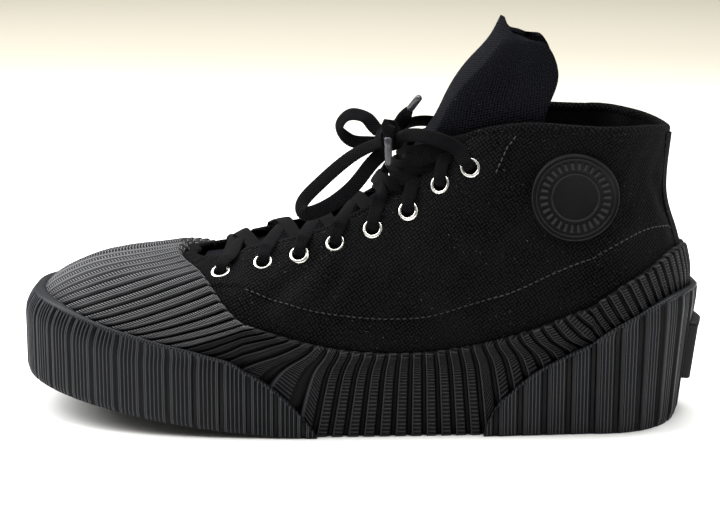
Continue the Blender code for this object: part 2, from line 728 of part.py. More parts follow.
def shoe_point(shares, side=-1):
    """Point from shares of length, half width and collar height."""
    x, y, z = shares
    return Vector((x * SHOE_LENGTH, -side * y * BALL_HALF_OUTER, z * COLLAR_HEIGHT))


def smooth_route(points, step):
    """Evenly spaced points on a smooth curve through the route."""
    turns = np.arange(len(points))
    fine = smooth_table(turns, np.array([tuple(p) for p in points]), np.linspace(0, turns[-1], 200))
    run = np.concatenate([[0.0], np.cumsum(np.linalg.norm(np.diff(fine, axis=0), axis=1))])
    count = max(3, round(run[-1] / step) + 1)
    picks = np.linspace(0.0, run[-1], count)
    return [Vector([np.interp(pick, run, fine[:, axis]) for axis in range(3)]) for pick in picks]


def make_cord(name, points, diameter, material):
    """Round cord along a smooth route."""
    route = smooth_route(points, 2.4 * diameter)
    curve = bpy.data.curves.new(name, "CURVE")
    curve.dimensions = "3D"
    curve.bevel_depth = diameter / 2
    curve.bevel_resolution = 1
    curve.use_fill_caps = True
    line = curve.splines.new("POLY")
    line.points.add(len(route) - 1)
    for spot, point in zip(line.points, route):
        spot.co = (*point, 1.0)
    curve.materials.append(material)
    cord = bpy.data.objects.new(name, curve)
    bpy.context.collection.objects.link(cord)
    return cord


def make_knot(material):
    """Knot of the bow."""
    form = bmesh.new()
    bmesh.ops.create_uvsphere(form, u_segments=8, v_segments=6, radius=1.0)
    place_knot = Matrix.Translation(shoe_point(KNOT_PLACE)) @ Matrix.Diagonal((*KNOT_SIZE, 1.0))
    bmesh.ops.transform(form, matrix=place_knot, verts=form.verts)
    mesh = bpy.data.meshes.new("lace_knot")
    form.to_mesh(mesh)
    form.free()
    mesh.materials.append(material)
    knot = bpy.data.objects.new("lace_knot", mesh)
    bpy.context.collection.objects.link(knot)


def make_crossings(material):
    """Lace between the eyelets: crossed strands in one solid, with the strands to the knot."""
    points = []
    faces = []
    above_eyelet = EYELET_RISE + 6 * GAP
    above_rim = 3 * GAP

    def add(spots):
        """Keep points and give their numbers."""
        first = len(points)
        points.extend(spots)
        return list(range(first, len(points)))

    def strand(start, start_spot, middles, end, width):
        """Band from one edge over middle places to another edge."""
        edge = start
        spots = [start_spot] + [spot for spot, up in middles]
        for i, (spot, up) in enumerate(middles):
            ahead = spots[i + 2] if i + 2 < len(spots) else None
            run = (ahead if ahead is not None else spot) - spots[i]
            across = up.cross(run).normalized() * width / 2
            following = add([spot - across, spot + across])
            if (points[edge[1]] - points[edge[0]]).dot(points[following[1]] - points[following[0]]) < 0:
                following.reverse()
            faces.append((edge[0], edge[1], following[1], following[0]))
            edge = following
        if end is not None:
            if (points[edge[1]] - points[edge[0]]).dot(points[end[1]] - points[end[0]]) < 0:
                end = end[::-1]
            faces.append((edge[0], edge[1], end[1], end[0]))

    hubs = {}
    for side in (-1, 1):
        for k, column in enumerate(EYELET_COLUMNS):
            frame = eyelet_frame(column, side)
            normal = frame.col[2].to_3d()
            along = frame.col[0].to_3d()
            centre = frame.translation + normal * above_eyelet
            rim = skin(column, side, 6.0, above_eyelet)
            inward = (rim - centre).normalized()
            hubs[side, k] = add([centre - along * LACE_WIDTH * 0.55, centre + inward * LACE_WIDTH * 0.3,
                                 centre + along * LACE_WIDTH * 0.55])
            faces.append(tuple(hubs[side, k]))
    last = len(EYELET_COLUMNS) - 1
    for k in range(last):
        middle_column = (EYELET_COLUMNS[k] + EYELET_COLUMNS[k + 1]) / 2
        near = skin(middle_column, -1, 6.0, above_rim)
        far = skin(middle_column, 1, 6.0, above_rim)
        centre = (near + far) / 2
        centre.z += CROSSING_RISE
        lengthwise = (skin(middle_column + 0.05, -1, 6.0) - skin(middle_column - 0.05, -1, 6.0)).normalized()
        if k in HIGH_CROSSINGS:
            centre = shoe_point(HIGH_CROSSINGS[k])
            lengthwise = Vector((0.56, 0.0, 0.83))
        crossways = Vector((0.0, 1.0, 0.0))
        diamond = add([centre - lengthwise * LACE_WIDTH * 0.55, centre - crossways * LACE_WIDTH * 0.62,
                       centre + lengthwise * LACE_WIDTH * 0.55, centre + crossways * LACE_WIDTH * 0.62])
        faces.append(tuple(diamond))
        corner = {-1: diamond[1], 1: diamond[3]}
        for side in (-1, 1):
            for end, edge, hub in ((k, (diamond[0], corner[side]), hubs[side, k][1:]),
                                   (k + 1, (diamond[2], corner[side]), hubs[side, k + 1][:2])):
                column = EYELET_COLUMNS[end] + 0.3 * (middle_column - EYELET_COLUMNS[end])
                over = skin(column, side, 5.92, above_eyelet)
                up = skin(column, side, 5.92, 0.01) - skin(column, side, 5.92)
                middles = [(over, up)]
                if k in HIGH_CROSSINGS:
                    shift = Vector(CORNER_SHIFT)
                    shift.y *= side
                    bend = centre + shift + lengthwise * LACE_WIDTH * (0.36 if end > k else -0.36)
                    middles.insert(0, (bend, Vector((-0.6, side * 0.8, 0.1))))
                strand(list(edge), centre, middles, list(hub), LACE_WIDTH * 0.8)
    bar_middle = (skin(EYELET_COLUMNS[0], -1, 6.0) + skin(EYELET_COLUMNS[0], 1, 6.0)) / 2
    bar_middle.z += 0.0028
    up = Vector((-0.25, 0.0, 1.0))
    over = [skin(EYELET_COLUMNS[0], side, 5.92, above_eyelet) for side in (-1, 1)]
    toe_edges = [hubs[side, 0][:2] for side in (-1, 1)]
    strand(list(toe_edges[0]), points[toe_edges[0][0]], [(over[0], up), (bar_middle, up), (over[1], up)],
           list(toe_edges[1]), LACE_WIDTH)
    for side in (-1, 1):
        column = EYELET_COLUMNS[last] + 0.008
        over = skin(column, side, 5.92, above_eyelet + 3 * GAP)
        middles = [(over, skin(column, side, 5.92, 0.01) - skin(column, side, 5.92))]
        for shares in TOP_STRAND:
            middles.append((shoe_point(shares, side), Vector((-0.3, side, 0.6))))
        hub = hubs[side, last][1:]
        strand(hub, (points[hub[0]] + points[hub[1]]) / 2, middles, None, LACE_WIDTH * 0.8)
    form = bmesh.new()
    corners = [form.verts.new(point) for point in points]
    for face in faces:
        form.faces.new([corners[i] for i in face])
    bmesh.ops.recalc_face_normals(form, faces=form.faces)
    form.faces.ensure_lookup_table()
    if form.faces[0].normal.z < 0:
        bmesh.ops.reverse_faces(form, faces=form.faces)
    mesh = bpy.data.meshes.new("lace_crossings")
    form.to_mesh(mesh)
    form.free()
    mesh.materials.append(material)
    lace = bpy.data.objects.new("lace_crossings", mesh)
    bpy.context.collection.objects.link(lace)
    wall = lace.modifiers.new("thickness", "SOLIDIFY")
    wall.thickness = LACE_THICKNESS
    wall.offset = 1.0
    return lace


def main():
    for piece in list(bpy.data.objects):
        bpy.data.objects.remove(piece, do_unlink=True)
    rubber = new_material("black_rubber", (0.028, 0.029, 0.031), 0.5)
    canvas = new_material("black_canvas", (0.018, 0.018, 0.020), 0.9)
    lining = new_material("black_lining", (0.020, 0.020, 0.021), 0.85)
    metal = new_material("eyelet_metal", (0.72, 0.70, 0.67), 0.28, 1.0)
    cotton = new_material("black_lace_cotton", (0.016, 0.016, 0.018), 0.92)
    aglet = new_material("aglet_plastic", (0.24, 0.24, 0.26), 0.35)
    make_outsole(rubber)
    make_upper(canvas)
    make_insole(lining)
    make_sheet("tongue", tongue_rows(), canvas, TONGUE_THICKNESS)
    make_rubber_shell(rubber)
    make_bumper("toe_bumper", 0.0, 1.212, TOE_GROUP, rubber)
    make_bumper("heel_bumper", 1.692, 3.0, HEEL_GROUP, rubber)
    make_heel_tab(rubber)
    for side in (-1, 1):
        for number, column in enumerate(EYELET_COLUMNS, start=1):
            make_eyelet(number, side, eyelet_frame(column, side), metal)
    make_badge(rubber)
    make_crossings(cotton)
    make_knot(cotton)
    for name, route in LACE_ROUTES.items():
        make_cord(name, [shoe_point(shares) for shares in route], LACE_CORD, cotton)
    for name, route in AGLET_ROUTES.items():
        make_cord(name, [shoe_point(shares) for shares in route], AGLET_DIAMETER, aglet)


main()
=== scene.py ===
import math

import bmesh
import bpy
import numpy as np
from mathutils import Matrix, Vector


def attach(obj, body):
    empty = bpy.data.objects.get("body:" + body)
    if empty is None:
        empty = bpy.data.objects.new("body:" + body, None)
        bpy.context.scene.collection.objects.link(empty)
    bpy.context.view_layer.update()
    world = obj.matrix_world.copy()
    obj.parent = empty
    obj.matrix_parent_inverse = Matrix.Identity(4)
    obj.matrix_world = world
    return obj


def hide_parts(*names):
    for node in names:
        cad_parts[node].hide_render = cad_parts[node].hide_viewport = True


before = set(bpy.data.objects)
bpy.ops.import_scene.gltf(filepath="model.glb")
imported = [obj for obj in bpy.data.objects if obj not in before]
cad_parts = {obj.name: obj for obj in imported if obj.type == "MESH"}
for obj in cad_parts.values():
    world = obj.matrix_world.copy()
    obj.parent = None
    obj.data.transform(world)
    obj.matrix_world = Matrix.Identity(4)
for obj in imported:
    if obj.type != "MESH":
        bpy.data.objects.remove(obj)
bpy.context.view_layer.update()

# Sizes of the shoe in metres; toe at -X, outer side at -Y, floor at z = 0
shoe = {
    "length": 0.305,
    "ballOuter": 0.054,
    "ballInner": 0.052,
    "collar": 0.1315,
    "footbed": 0.036,
    "toeSpring": 0.0175,
    "toeSwing": 0.007,
    "heelRake": 0.0095,
    "heelMargin": 0.001,
    "tongue": 0.177,
    "canvas": 0.0022,
    "toeFan": -0.164,       # shares of the length
    "heelFan": 0.328,
    "springStart": -0.072,
    "toeBend": -0.066,      # where the toe starts to swing inwards
    "toeSquare": 2.5,       # power of the plan's round ends, 2 is an ellipse
    "heelSquare": 2.3,
    "cells": (1200, 240),   # steps of the form's tables round the shoe and up
}
rubber = {
    "gap": 0.0007,          # between canvas and rubber
    "sheet": 0.0019,
    "ribRise": 0.0015,
    "ribPitch": 0.0052,
    "overlap": 0.0062,      # what runs down behind the bumpers
    "tuck": 0.003,          # and what of that the scene leaves out
}
bumper = {
    "fit": 0.0006,
    "sheet": 0.0019,
    "lip": 0.0013,
    "toeHeight": 0.053,
    "heelHeight": 0.061,
    "toeCrown": 0.0058,
    "sideCrown": 0.0008,
    "crownDrop": 0.011,
    "toeGroup": 0.0122,
    "heelGroup": 0.0103,
    "groove": 0.0021,
    "grooveDepth": 0.0014,
}
toeX = -0.5 * shoe["length"]
heelX = 0.5 * shoe["length"] - shoe["heelRake"] - shoe["heelMargin"]
toeFanX = shoe["toeFan"] * shoe["length"]
heelFanX = shoe["heelFan"] * shoe["length"]
rubberOut = rubber["gap"] + rubber["sheet"] + rubber["ribRise"]
sideBuild = rubberOut + bumper["fit"] + bumper["sheet"]

# Half widths of the sole as shares of the half ball widths, by column
solePlan = (
    (1.0, 1.25, 1.5, 1.75, 2.0),
    (1.0, 0.991, 0.944, 0.889, 0.815),
    (1.0, 0.942, 0.865, 0.837, 0.808),
)
# Column, footbed and rim as shares of their heights, six radii as shares of the sole's
# half width, four heights as shares of the way from footbed to rim
sectionRows = np.array((
    (0.000, 0.917, 0.545, 0.932, 0.917, 0.859, 0.683, 0.429, 0.215, 0.260, 0.543, 0.780, 0.910),
    (0.500, 0.861, 0.544, 0.901, 0.899, 0.838, 0.676, 0.472, 0.310, 0.260, 0.530, 0.765, 0.889),
    (1.000, 0.778, 0.578, 0.852, 0.880, 0.833, 0.704, 0.500, 0.352, 0.260, 0.479, 0.688, 0.885),
    (1.250, 0.750, 0.658, 0.841, 0.869, 0.822, 0.701, 0.505, 0.364, 0.202, 0.403, 0.630, 0.891),
    (1.500, 0.778, 0.829, 0.843, 0.873, 0.833, 0.725, 0.520, 0.373, 0.148, 0.321, 0.543, 0.864),
    (1.625, 0.819, 0.954, 0.847, 0.877, 0.847, 0.746, 0.544, 0.413, 0.130, 0.318, 0.557, 0.880),
    (1.750, 0.861, 1.000, 0.844, 0.875, 0.865, 0.781, 0.656, 0.562, 0.129, 0.299, 0.517, 0.786),
    (2.000, 0.972, 1.000, 0.841, 0.898, 0.898, 0.807, 0.739, 0.750, 0.124, 0.314, 0.545, 0.775),
    (2.500, 1.000, 0.992, 0.801, 0.879, 0.890, 0.790, 0.701, 0.712, 0.143, 0.312, 0.550, 0.762),
    (3.000, 1.000, 0.970, 0.881, 0.976, 1.024, 0.952, 0.810, 0.845, 0.142, 0.301, 0.464, 0.699),
))
# Upper edge of the cap and rand, as levels over columns
randEdge = (
    (0.0, 0.25, 0.5, 0.75, 1.0, 1.25, 1.5, 1.75, 2.0, 2.25, 2.5, 2.75, 3.0),
    (5.75, 5.6, 5.1, 4.2, 2.8, 2.0, 1.7, 1.93, 2.56, 3.02, 3.35, 3.63, 3.8),
)
# Upper edges of the bumpers, as shares of their heights over columns
toeEdge = (
    (0.0, 0.2, 0.4, 0.6, 0.8, 1.0, 1.08, 1.165, 1.215),
    (1.04, 1.01, 0.883, 0.783, 0.698, 0.566, 0.425, 0.192, 0.012),
)
heelEdge = (
    (1.69, 1.702, 1.724, 1.766, 1.823, 1.909, 2.05, 2.3, 2.5, 2.75, 3.0),
    (0.01, 0.09, 0.2, 0.308, 0.431, 0.557, 0.715, 0.875, 0.955, 0.975, 0.95),
)
# Column of a rib's foot over the column of its top: the ribs fan out over the toe
ribTurn = (
    (0.0, 0.25, 0.5, 0.75, 0.9, 1.0, 1.1, 1.25, 1.5, 1.75, 2.0, 2.3, 2.6, 3.0),
    (0.0, 0.12, 0.19, 0.31, 0.44, 0.55, 0.76, 1.17, 1.5, 1.81, 2.13, 2.42, 2.68, 3.0),
)


def smoothTable(xs, ys, x):
    # Smooth values between a table's rows
    xs = np.asarray(xs, float)
    ys = np.asarray(ys, float)
    x = np.clip(np.asarray(x, float), xs[0], xs[-1])
    i = np.clip(np.searchsorted(xs, x, side="right") - 1, 0, len(xs) - 2)
    slope = np.gradient(ys, xs, axis=0)
    span = xs[i + 1] - xs[i]
    t = (x - xs[i]) / span
    if ys.ndim == 2:
        span, t = span[..., None], t[..., None]
    rise = (1 + 2 * t) * (1 - t) ** 2 * ys[i] + t * t * (3 - 2 * t) * ys[i + 1]
    lean = t * (1 - t) ** 2 * span * slope[i] + t * t * (t - 1) * span * slope[i + 1]
    return rise + lean


def smoothStep(low, high, x):
    t = np.clip((x - low) / (high - low), 0, 1)
    return t * t * (3 - 2 * t)


def runLength(points):
    # Length along a line at each of its points
    return np.concatenate([[0], np.cumsum(np.linalg.norm(np.diff(points, axis=0), axis=1))])


# A spot s runs -3 to 3 round the shoe: below 0 on the outer side, 0 at the toe, 3 at the heel
def soleRadius(s):
    # Rounded toe up to column 1, straight side to column 2, rounded heel
    column = np.abs(s)
    ball = np.where(s < 0, shoe["ballOuter"], shoe["ballInner"])
    toeTurn = np.minimum(column, 1) * math.pi / 2
    heelTurn = np.maximum(column - 2, 0) * math.pi / 2
    side = np.where(s < 0, smoothTable(solePlan[0], solePlan[1], column),
                    smoothTable(solePlan[0], solePlan[2], column)) * ball
    power = shoe["toeSquare"]
    toe = ((np.cos(toeTurn) / (toeFanX - toeX)) ** power + (np.sin(toeTurn) / ball) ** power) ** (-1 / power)
    across = ball * np.where(s < 0, solePlan[1][-1], solePlan[2][-1])
    power = shoe["heelSquare"]
    heel = ((np.cos(heelTurn) / across) ** power
            + (np.abs(np.sin(heelTurn)) / (heelX - heelFanX)) ** power) ** (-1 / power)
    return np.where(column < 1, toe, np.where(column > 2, heel, side))


def ground(x):
    # Underside of the shoe, curved up at the toe
    start = shoe["springStart"] * shoe["length"]
    return shoe["toeSpring"] * np.maximum(0, (start - x) / (start - toeX)) ** 1.5


def place(s, radius, z):
    # Point at a spot, with the toe swung to the inner side
    column = np.abs(s)
    toeTurn = np.minimum(column, 1) * math.pi / 2
    heelTurn = np.maximum(column - 2, 0) * math.pi / 2
    x = toeFanX + (heelFanX - toeFanX) * np.clip(column - 1, 0, 1)
    x = x - np.where(column < 1, radius * np.cos(toeTurn), 0)
    x = x + np.where(column > 2, radius * np.sin(heelTurn), 0)
    bend = shoe["toeBend"] * shoe["length"]
    swing = shoe["toeSwing"] * np.maximum(0, (bend - x) / (bend - toeX)) ** 2
    y = np.sign(s) * radius * np.sin(toeTurn) * np.cos(heelTurn) + swing
    return np.stack(np.broadcast_arrays(x, y, z), axis=-1)


def makeForm():
    # Tables of the canvas's outer face by spot and level, from which look reads
    spots = np.linspace(-3, 3, shoe["cells"][0] + 1)
    levels = np.linspace(0, 6, shoe["cells"][1] + 1)
    column = np.abs(spots)
    row = smoothTable(sectionRows[:, 0], sectionRows[:, 1:], column).T
    foot = row[0] * shoe["footbed"]
    rim = row[1] * shoe["collar"]
    outer = soleRadius(-column)
    narrowing = soleRadius(spots) / outer - 1
    radii = [soleRadius(spots) - sideBuild]
    for k, fade in enumerate((1.0, 1.0, 0.9, 0.6, 0.3, 0.0)):
        radii.append(row[2 + k] * outer * (1 + narrowing * fade))
    heights = [ground(place(spots, radii[0], 0)[:, 0]), foot]
    heights += [foot + (rim - foot) * row[8 + k] for k in range(4)] + [rim]
    radius = smoothTable(np.arange(7.0), np.array(radii), levels).T
    height = smoothTable(np.arange(7.0), np.array(heights), levels).T
    alongR = np.gradient(radius, axis=1)
    alongZ = np.gradient(height, axis=1)
    size = np.hypot(alongR, alongZ)
    points = place(spots[:, None], radius, height)
    belt = round(3.5 / 6 * shoe["cells"][1])    # lengths round the shoe are taken at level 3.5
    run = runLength(points[:, belt])
    rise = np.linalg.norm(np.diff(points, axis=1), axis=2)
    rise = np.concatenate([np.zeros((len(spots), 1)), np.cumsum(rise, axis=1)], axis=1)
    return {"radius": radius, "height": height, "normalR": alongZ / size, "normalZ": -alongR / size,
            "run": np.repeat(run[:, None], len(levels), axis=1), "rise": rise}


form = makeForm()


def look(name, s, level):
    # Value of one of the form's tables between its cells
    s, level = np.broadcast_arrays(np.asarray(s, float), np.asarray(level, float))
    table = form[name]
    around, up = shoe["cells"]
    a = np.clip((s + 3) / 6 * around, 0, around - 0.001)
    b = np.clip(level / 6 * up, 0, up - 0.001)
    i, k = a.astype(int), b.astype(int)
    u, v = a - i, b - k
    return ((1 - u) * (1 - v) * table[i, k] + u * (1 - v) * table[i + 1, k]
            + (1 - u) * v * table[i, k + 1] + u * v * table[i + 1, k + 1])


def skin(s, level, offset=0.0):
    # Point on the canvas's outer face, or off it along the section's normal
    radius = look("radius", s, level) + look("normalR", s, level) * offset
    height = look("height", s, level) + look("normalZ", s, level) * offset
    return place(np.asarray(s, float), radius, height)


def skinSpot(s, level, offset=0.0):
    return Vector(skin(s, level, offset).reshape(3))


def atHeight(s, z, offset, what):
    # Radius or level of the offset section where it has a height
    s, z = np.broadcast_arrays(np.asarray(s, float), np.asarray(z, float))
    found = np.empty(s.shape)
    flatS, flatZ, flatFound = s.ravel(), z.ravel(), found.ravel()
    for value in np.unique(flatS):
        picks = flatS == value
        line = np.linspace(0, 6, shoe["cells"][1] + 1)
        heights = look("height", value, line) + look("normalZ", value, line) * offset
        values = line
        if what == "radius":
            values = look("radius", value, line) + look("normalR", value, line) * offset
        flatFound[picks] = np.interp(flatZ[picks], heights, values)
    return flatFound.reshape(s.shape)


def bumperHeight(column):
    column = np.asarray(column, float)
    toe = bumper["toeHeight"] * smoothTable(*toeEdge, column)
    heel = bumper["heelHeight"] * smoothTable(*heelEdge, column)
    return np.where(column <= toeEdge[0][-1], toe, np.where(column >= heelEdge[0][0], heel, 0))


def wallRadius(s, z, top):
    # Outer face of the bumpers: raked at the heel, crowned at the top, always clear of the ribs
    column = np.abs(s)
    rake = shoe["heelRake"] * np.maximum(0, column - 2) ** 1.5 * z / bumper["heelHeight"]
    toeShare = np.maximum(0, 1 - column) ** 1.2
    crown = bumper["sideCrown"] + (bumper["toeCrown"] - bumper["sideCrown"]) * toeShare
    drop = np.minimum(bumper["crownDrop"], 0.6 * top)
    nearTop = np.maximum(0, (z - top + drop) / drop)
    plain = soleRadius(s) + rake - crown * nearTop ** 2
    lip = atHeight(s, z, rubberOut + bumper["fit"], "radius") + bumper["lip"]
    return np.maximum(plain, lip)


def gridWork(uValues, vValues, shape, uv):
    # A grid from the operator, its points moved to the places that shape gives
    work = bmesh.new()
    bmesh.ops.create_grid(work, x_segments=len(uValues) - 1, y_segments=len(vValues) - 1, size=0.5)
    shares = np.array([v.co[:2] for v in work.verts]) + 0.5
    i = np.rint(shares[:, 0] * (len(uValues) - 1)).astype(int)
    k = np.rint(shares[:, 1] * (len(vValues) - 1)).astype(int)
    u, v = np.asarray(uValues, float)[i], np.asarray(vValues, float)[k]
    points, flat = shape(u, v), uv(u, v)
    layer = work.loops.layers.uv.new("UVMap")
    for face in work.faces:
        for loop in face.loops:
            loop[layer].uv = flat[loop.vert.index]
    for vert, point in zip(work.verts, points):
        vert.co = point
    return work


def closeTube(work):
    # Joins the grid's long edges, fills its ends and turns its faces out
    bmesh.ops.remove_doubles(work, verts=work.verts, dist=0.000002)
    bmesh.ops.holes_fill(work, edges=[e for e in work.edges if e.is_boundary], sides=0)
    bmesh.ops.recalc_face_normals(work, faces=work.faces)


def finishPiece(name, work, material):
    mesh = bpy.data.meshes.new(name)
    work.to_mesh(mesh)
    work.free()
    mesh.materials.append(material)
    mesh.polygons.foreach_set("use_smooth", [True] * len(mesh.polygons))
    piece = bpy.data.objects.new(name, mesh)
    bpy.context.collection.objects.link(piece)
    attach(piece, "root")
    return piece


def gridPiece(name, uValues, vValues, shape, material, uv, closed=False, flip=False):
    work = gridWork(uValues, vValues, shape, uv)
    if closed:
        bmesh.ops.remove_doubles(work, verts=work.verts, dist=0.000002)
    if flip:
        bmesh.ops.reverse_faces(work, faces=work.faces)
    return finishPiece(name, work, material)


def faceTowards(piece, direction, near=None):
    # Flips a sheet whose middle face, or the face nearest a spot, looks the other way
    faces = piece.data.polygons
    probe = faces[len(faces) // 2] if near is None else min(faces, key=lambda f: (f.center - near).length)
    if probe.normal.dot(Vector(direction)) < 0:
        piece.data.flip_normals()


def thicken(piece, name, thickness):
    # Gives a sheet its thickness on the inner side
    wall = piece.modifiers.new(name, "SOLIDIFY")
    wall.thickness = thickness
    wall.offset = -1.0
    return wall


def hexColor(text):
    # sRGB hex to linear
    parts = [int(text[i:i + 2], 16) / 255 for i in (0, 2, 4)]
    return [c / 12.92 if c <= 0.04045 else ((c + 0.055) / 1.055) ** 2.4 for c in parts] + [1.0]


def addNode(tree, kind, settings, inputs):
    node = tree.nodes.new("ShaderNode" + kind)
    for name, value in settings.items():
        setattr(node, name, value)
    for name, value in inputs.items():
        if isinstance(value, bpy.types.NodeSocket):
            tree.links.new(value, node.inputs[name])
        else:
            node.inputs[name].default_value = value
    return node


def newMaterial(name, roughness, settings):
    material = bpy.data.materials.new(name)
    material.use_nodes = True
    tree = material.node_tree
    shader = tree.nodes["Principled BSDF"]
    shader.inputs["Roughness"].default_value = roughness
    for key, value in settings.items():
        shader.inputs[key].default_value = value
    return material, tree, shader


colorMix = {"data_type": "RGBA"}      # a Mix node's colours are its inputs 6 and 7 and its output 2


def wovenCotton(name, pitch, turn, low, high, fuzz, bump):
    # Cotton duck, plain woven and piece dyed: matt, the round thread tops painted lighter as a painted highlight, lint
    # sticks
    material, tree, shader = newMaterial(name, 0.93, {"Sheen Weight": 0.012, "Sheen Roughness": 0.6,
                                                      "Specular IOR Level": 0.03})
    uv = addNode(tree, "UVMap", {}, {})
    turned = addNode(tree, "Mapping", {}, {"Vector": uv.outputs[0], "Rotation": (0, 0, turn),
                                           "Scale": (1 / pitch, 1 / pitch, 1)})
    # One cell for each thread crossing, pitch is the spacing of the doubled threads in metres,
    # a little coarser than the real one so that the weave shows
    cells = addNode(tree, "TexVoronoi", {"voronoi_dimensions": "2D"},
                    {"Vector": turned.outputs[0], "Scale": 1.0, "Randomness": 0.28})
    body = addNode(tree, "TexCoord", {}, {})
    cloud = addNode(tree, "TexNoise", {}, {"Vector": body.outputs["Object"], "Scale": 42, "Detail": 4})
    wear = addNode(tree, "MapRange", {}, {0: cloud.outputs[0], 1: 0.35, 2: 0.7, 3: 0.0, 4: 0.3})
    tops = addNode(tree, "MapRange", {}, {0: cells.outputs["Distance"], 1: 0.08, 2: 0.5, 3: 1.0, 4: 0.0})
    # Thread tops are painted towards the high colour as a painted highlight; the clouds of wear are real tone
    base = addNode(tree, "Mix", colorMix, {0: tops.outputs[0], 6: hexColor(low), 7: hexColor(high)})
    worn = addNode(tree, "Mix", colorMix, {0: wear.outputs[0], 6: base.outputs[2], 7: hexColor(high)})
    # Lint about 0.9 mm across, the clouds of wear about 24 mm
    lint = addNode(tree, "TexNoise", {}, {"Vector": body.outputs["Object"], "Scale": 1150, "Detail": 1})
    specks = addNode(tree, "MapRange", {}, {0: lint.outputs[0], 1: 0.74, 2: 0.80, 3: 0.0, 4: fuzz})
    dusted = addNode(tree, "Mix", colorMix, {0: specks.outputs[0], 6: worn.outputs[2], 7: hexColor("8f8d88")})
    tree.links.new(dusted.outputs[2], shader.inputs["Base Color"])
    threads = addNode(tree, "Bump", {}, {"Strength": bump, "Distance": 0.00035, "Height": tops.outputs[0]})
    tree.links.new(threads.outputs[0], shader.inputs["Normal"])
    return material


def mouldedRubber(name, low, high, dust, roughness, gloss=0.2):
    # Vulcanised rubber out of a steel mould: satin, with fine grit and dust in the low places
    material, tree, shader = newMaterial(name, roughness, {"IOR": 1.52, "Specular IOR Level": gloss})
    body = addNode(tree, "TexCoord", {}, {})
    # Grit about 1.1 mm, since the real 0.2 mm is too fine to show, dust in clouds about 17 mm
    grit = addNode(tree, "TexNoise", {}, {"Vector": body.outputs["Object"], "Scale": 900, "Detail": 3})
    cloud = addNode(tree, "TexNoise", {}, {"Vector": body.outputs["Object"], "Scale": 60, "Detail": 5})
    tone = addNode(tree, "MapRange", {}, {0: cloud.outputs[0], 1: 0.3, 2: 0.72})
    base = addNode(tree, "Mix", colorMix, {0: tone.outputs[0], 6: hexColor(low), 7: hexColor(high)})
    speck = addNode(tree, "MapRange", {}, {0: grit.outputs[0], 1: 0.62, 2: 0.78, 3: 0.0, 4: 0.35})
    dusty = addNode(tree, "Mix", colorMix, {0: speck.outputs[0], 6: base.outputs[2], 7: hexColor(dust)})
    tree.links.new(dusty.outputs[2], shader.inputs["Base Color"])
    polish = addNode(tree, "MapRange", {}, {0: cloud.outputs[0], 1: 0.2, 2: 0.8,
                                            3: roughness - 0.1, 4: roughness + 0.12})
    tree.links.new(polish.outputs[0], shader.inputs["Roughness"])
    relief = addNode(tree, "Bump", {}, {"Strength": 0.35, "Distance": 0.0002, "Height": grit.outputs[0]})
    tree.links.new(relief.outputs[0], shader.inputs["Normal"])
    return material, tree, shader, dusty.outputs[2], grit


def ladderRubber(name, low, high, edge, dust, gloss, rib, strip, ladder, depth):
    # The same rubber with a knurled ladder beside a smooth strip on every rib; the rung tops and the strip get a
    # painted highlight in the edge colour, the gaps between the rungs and the grooves between the ribs are painted
    # near-black as painted shade; places are shares of a rib
    material, tree, shader, base, grit = mouldedRubber(name, low, high, dust, 0.54, gloss)
    uv = addNode(tree, "UVMap", {}, {})
    parts = addNode(tree, "SeparateXYZ", {}, {0: uv.outputs[0]})
    phase = addNode(tree, "Math", {"operation": "FRACT"}, {0: parts.outputs[0]})
    smooth = {"interpolation_type": "SMOOTHSTEP"}
    rungPitch = 0.0012                       # the real knurl is 0.85 mm, too fine to show
    swell = addNode(tree, "Math", {"operation": "MULTIPLY"}, {0: parts.outputs[1], 1: 2 * math.pi / rungPitch})
    rungs = addNode(tree, "Math", {"operation": "SINE"}, {0: swell.outputs[0]})

    def band(start, stop, strength):
        # 1 between two places across the rib, with a soft edge on both sides
        rise = addNode(tree, "MapRange", smooth, {0: phase.outputs[0], 1: start, 2: start + 0.05})
        fall = addNode(tree, "MapRange", smooth, {0: phase.outputs[0], 1: stop - 0.05, 2: stop,
                                                  3: strength, 4: 0.0})
        return addNode(tree, "Math", {"operation": "MULTIPLY"}, {0: rise.outputs[0], 1: fall.outputs[0]}).outputs[0]

    onLadder = band(ladder[0], ladder[1], 1.0)
    cut = addNode(tree, "Math", {"operation": "MULTIPLY"}, {0: onLadder, 1: rungs.outputs[0]})
    # Painted shade between the rungs, painted highlight in the edge colour on the rung tops
    shade = addNode(tree, "MapRange", {}, {0: cut.outputs[0], 1: -0.9, 2: 0.1, 3: depth, 4: 0.0})
    raised = addNode(tree, "MapRange", {}, {0: cut.outputs[0], 1: 0.2, 2: 0.9, 3: 0.0, 4: depth * 0.7})
    shaded = addNode(tree, "Mix", colorMix, {0: shade.outputs[0], 6: base, 7: hexColor("050506")})
    knurled = addNode(tree, "Mix", colorMix, {0: raised.outputs[0], 6: shaded.outputs[2], 7: hexColor(edge)})
    # Painted highlight along the strip, and painted near-black shade in the grooves between the ribs
    lit = addNode(tree, "Mix", colorMix, {0: band(strip[0], strip[1], 0.45), 6: knurled.outputs[2], 7: hexColor(edge)})
    grooveShadedRibs = addNode(tree, "Mix", colorMix, {0: band(rib[0], rib[1], 1.0), 6: hexColor("010101"), 7: lit.outputs[2]})
    tree.links.new(grooveShadedRibs.outputs[2], shader.inputs["Base Color"])
    coarse = addNode(tree, "Bump", {}, {"Strength": 1.0, "Distance": 0.0003, "Height": cut.outputs[0]})
    fine = addNode(tree, "Bump", {}, {"Strength": 0.3, "Distance": 0.0002, "Height": grit.outputs[0],
                                      "Normal": coarse.outputs[0]})
    tree.links.new(fine.outputs[0], shader.inputs["Normal"])
    return material


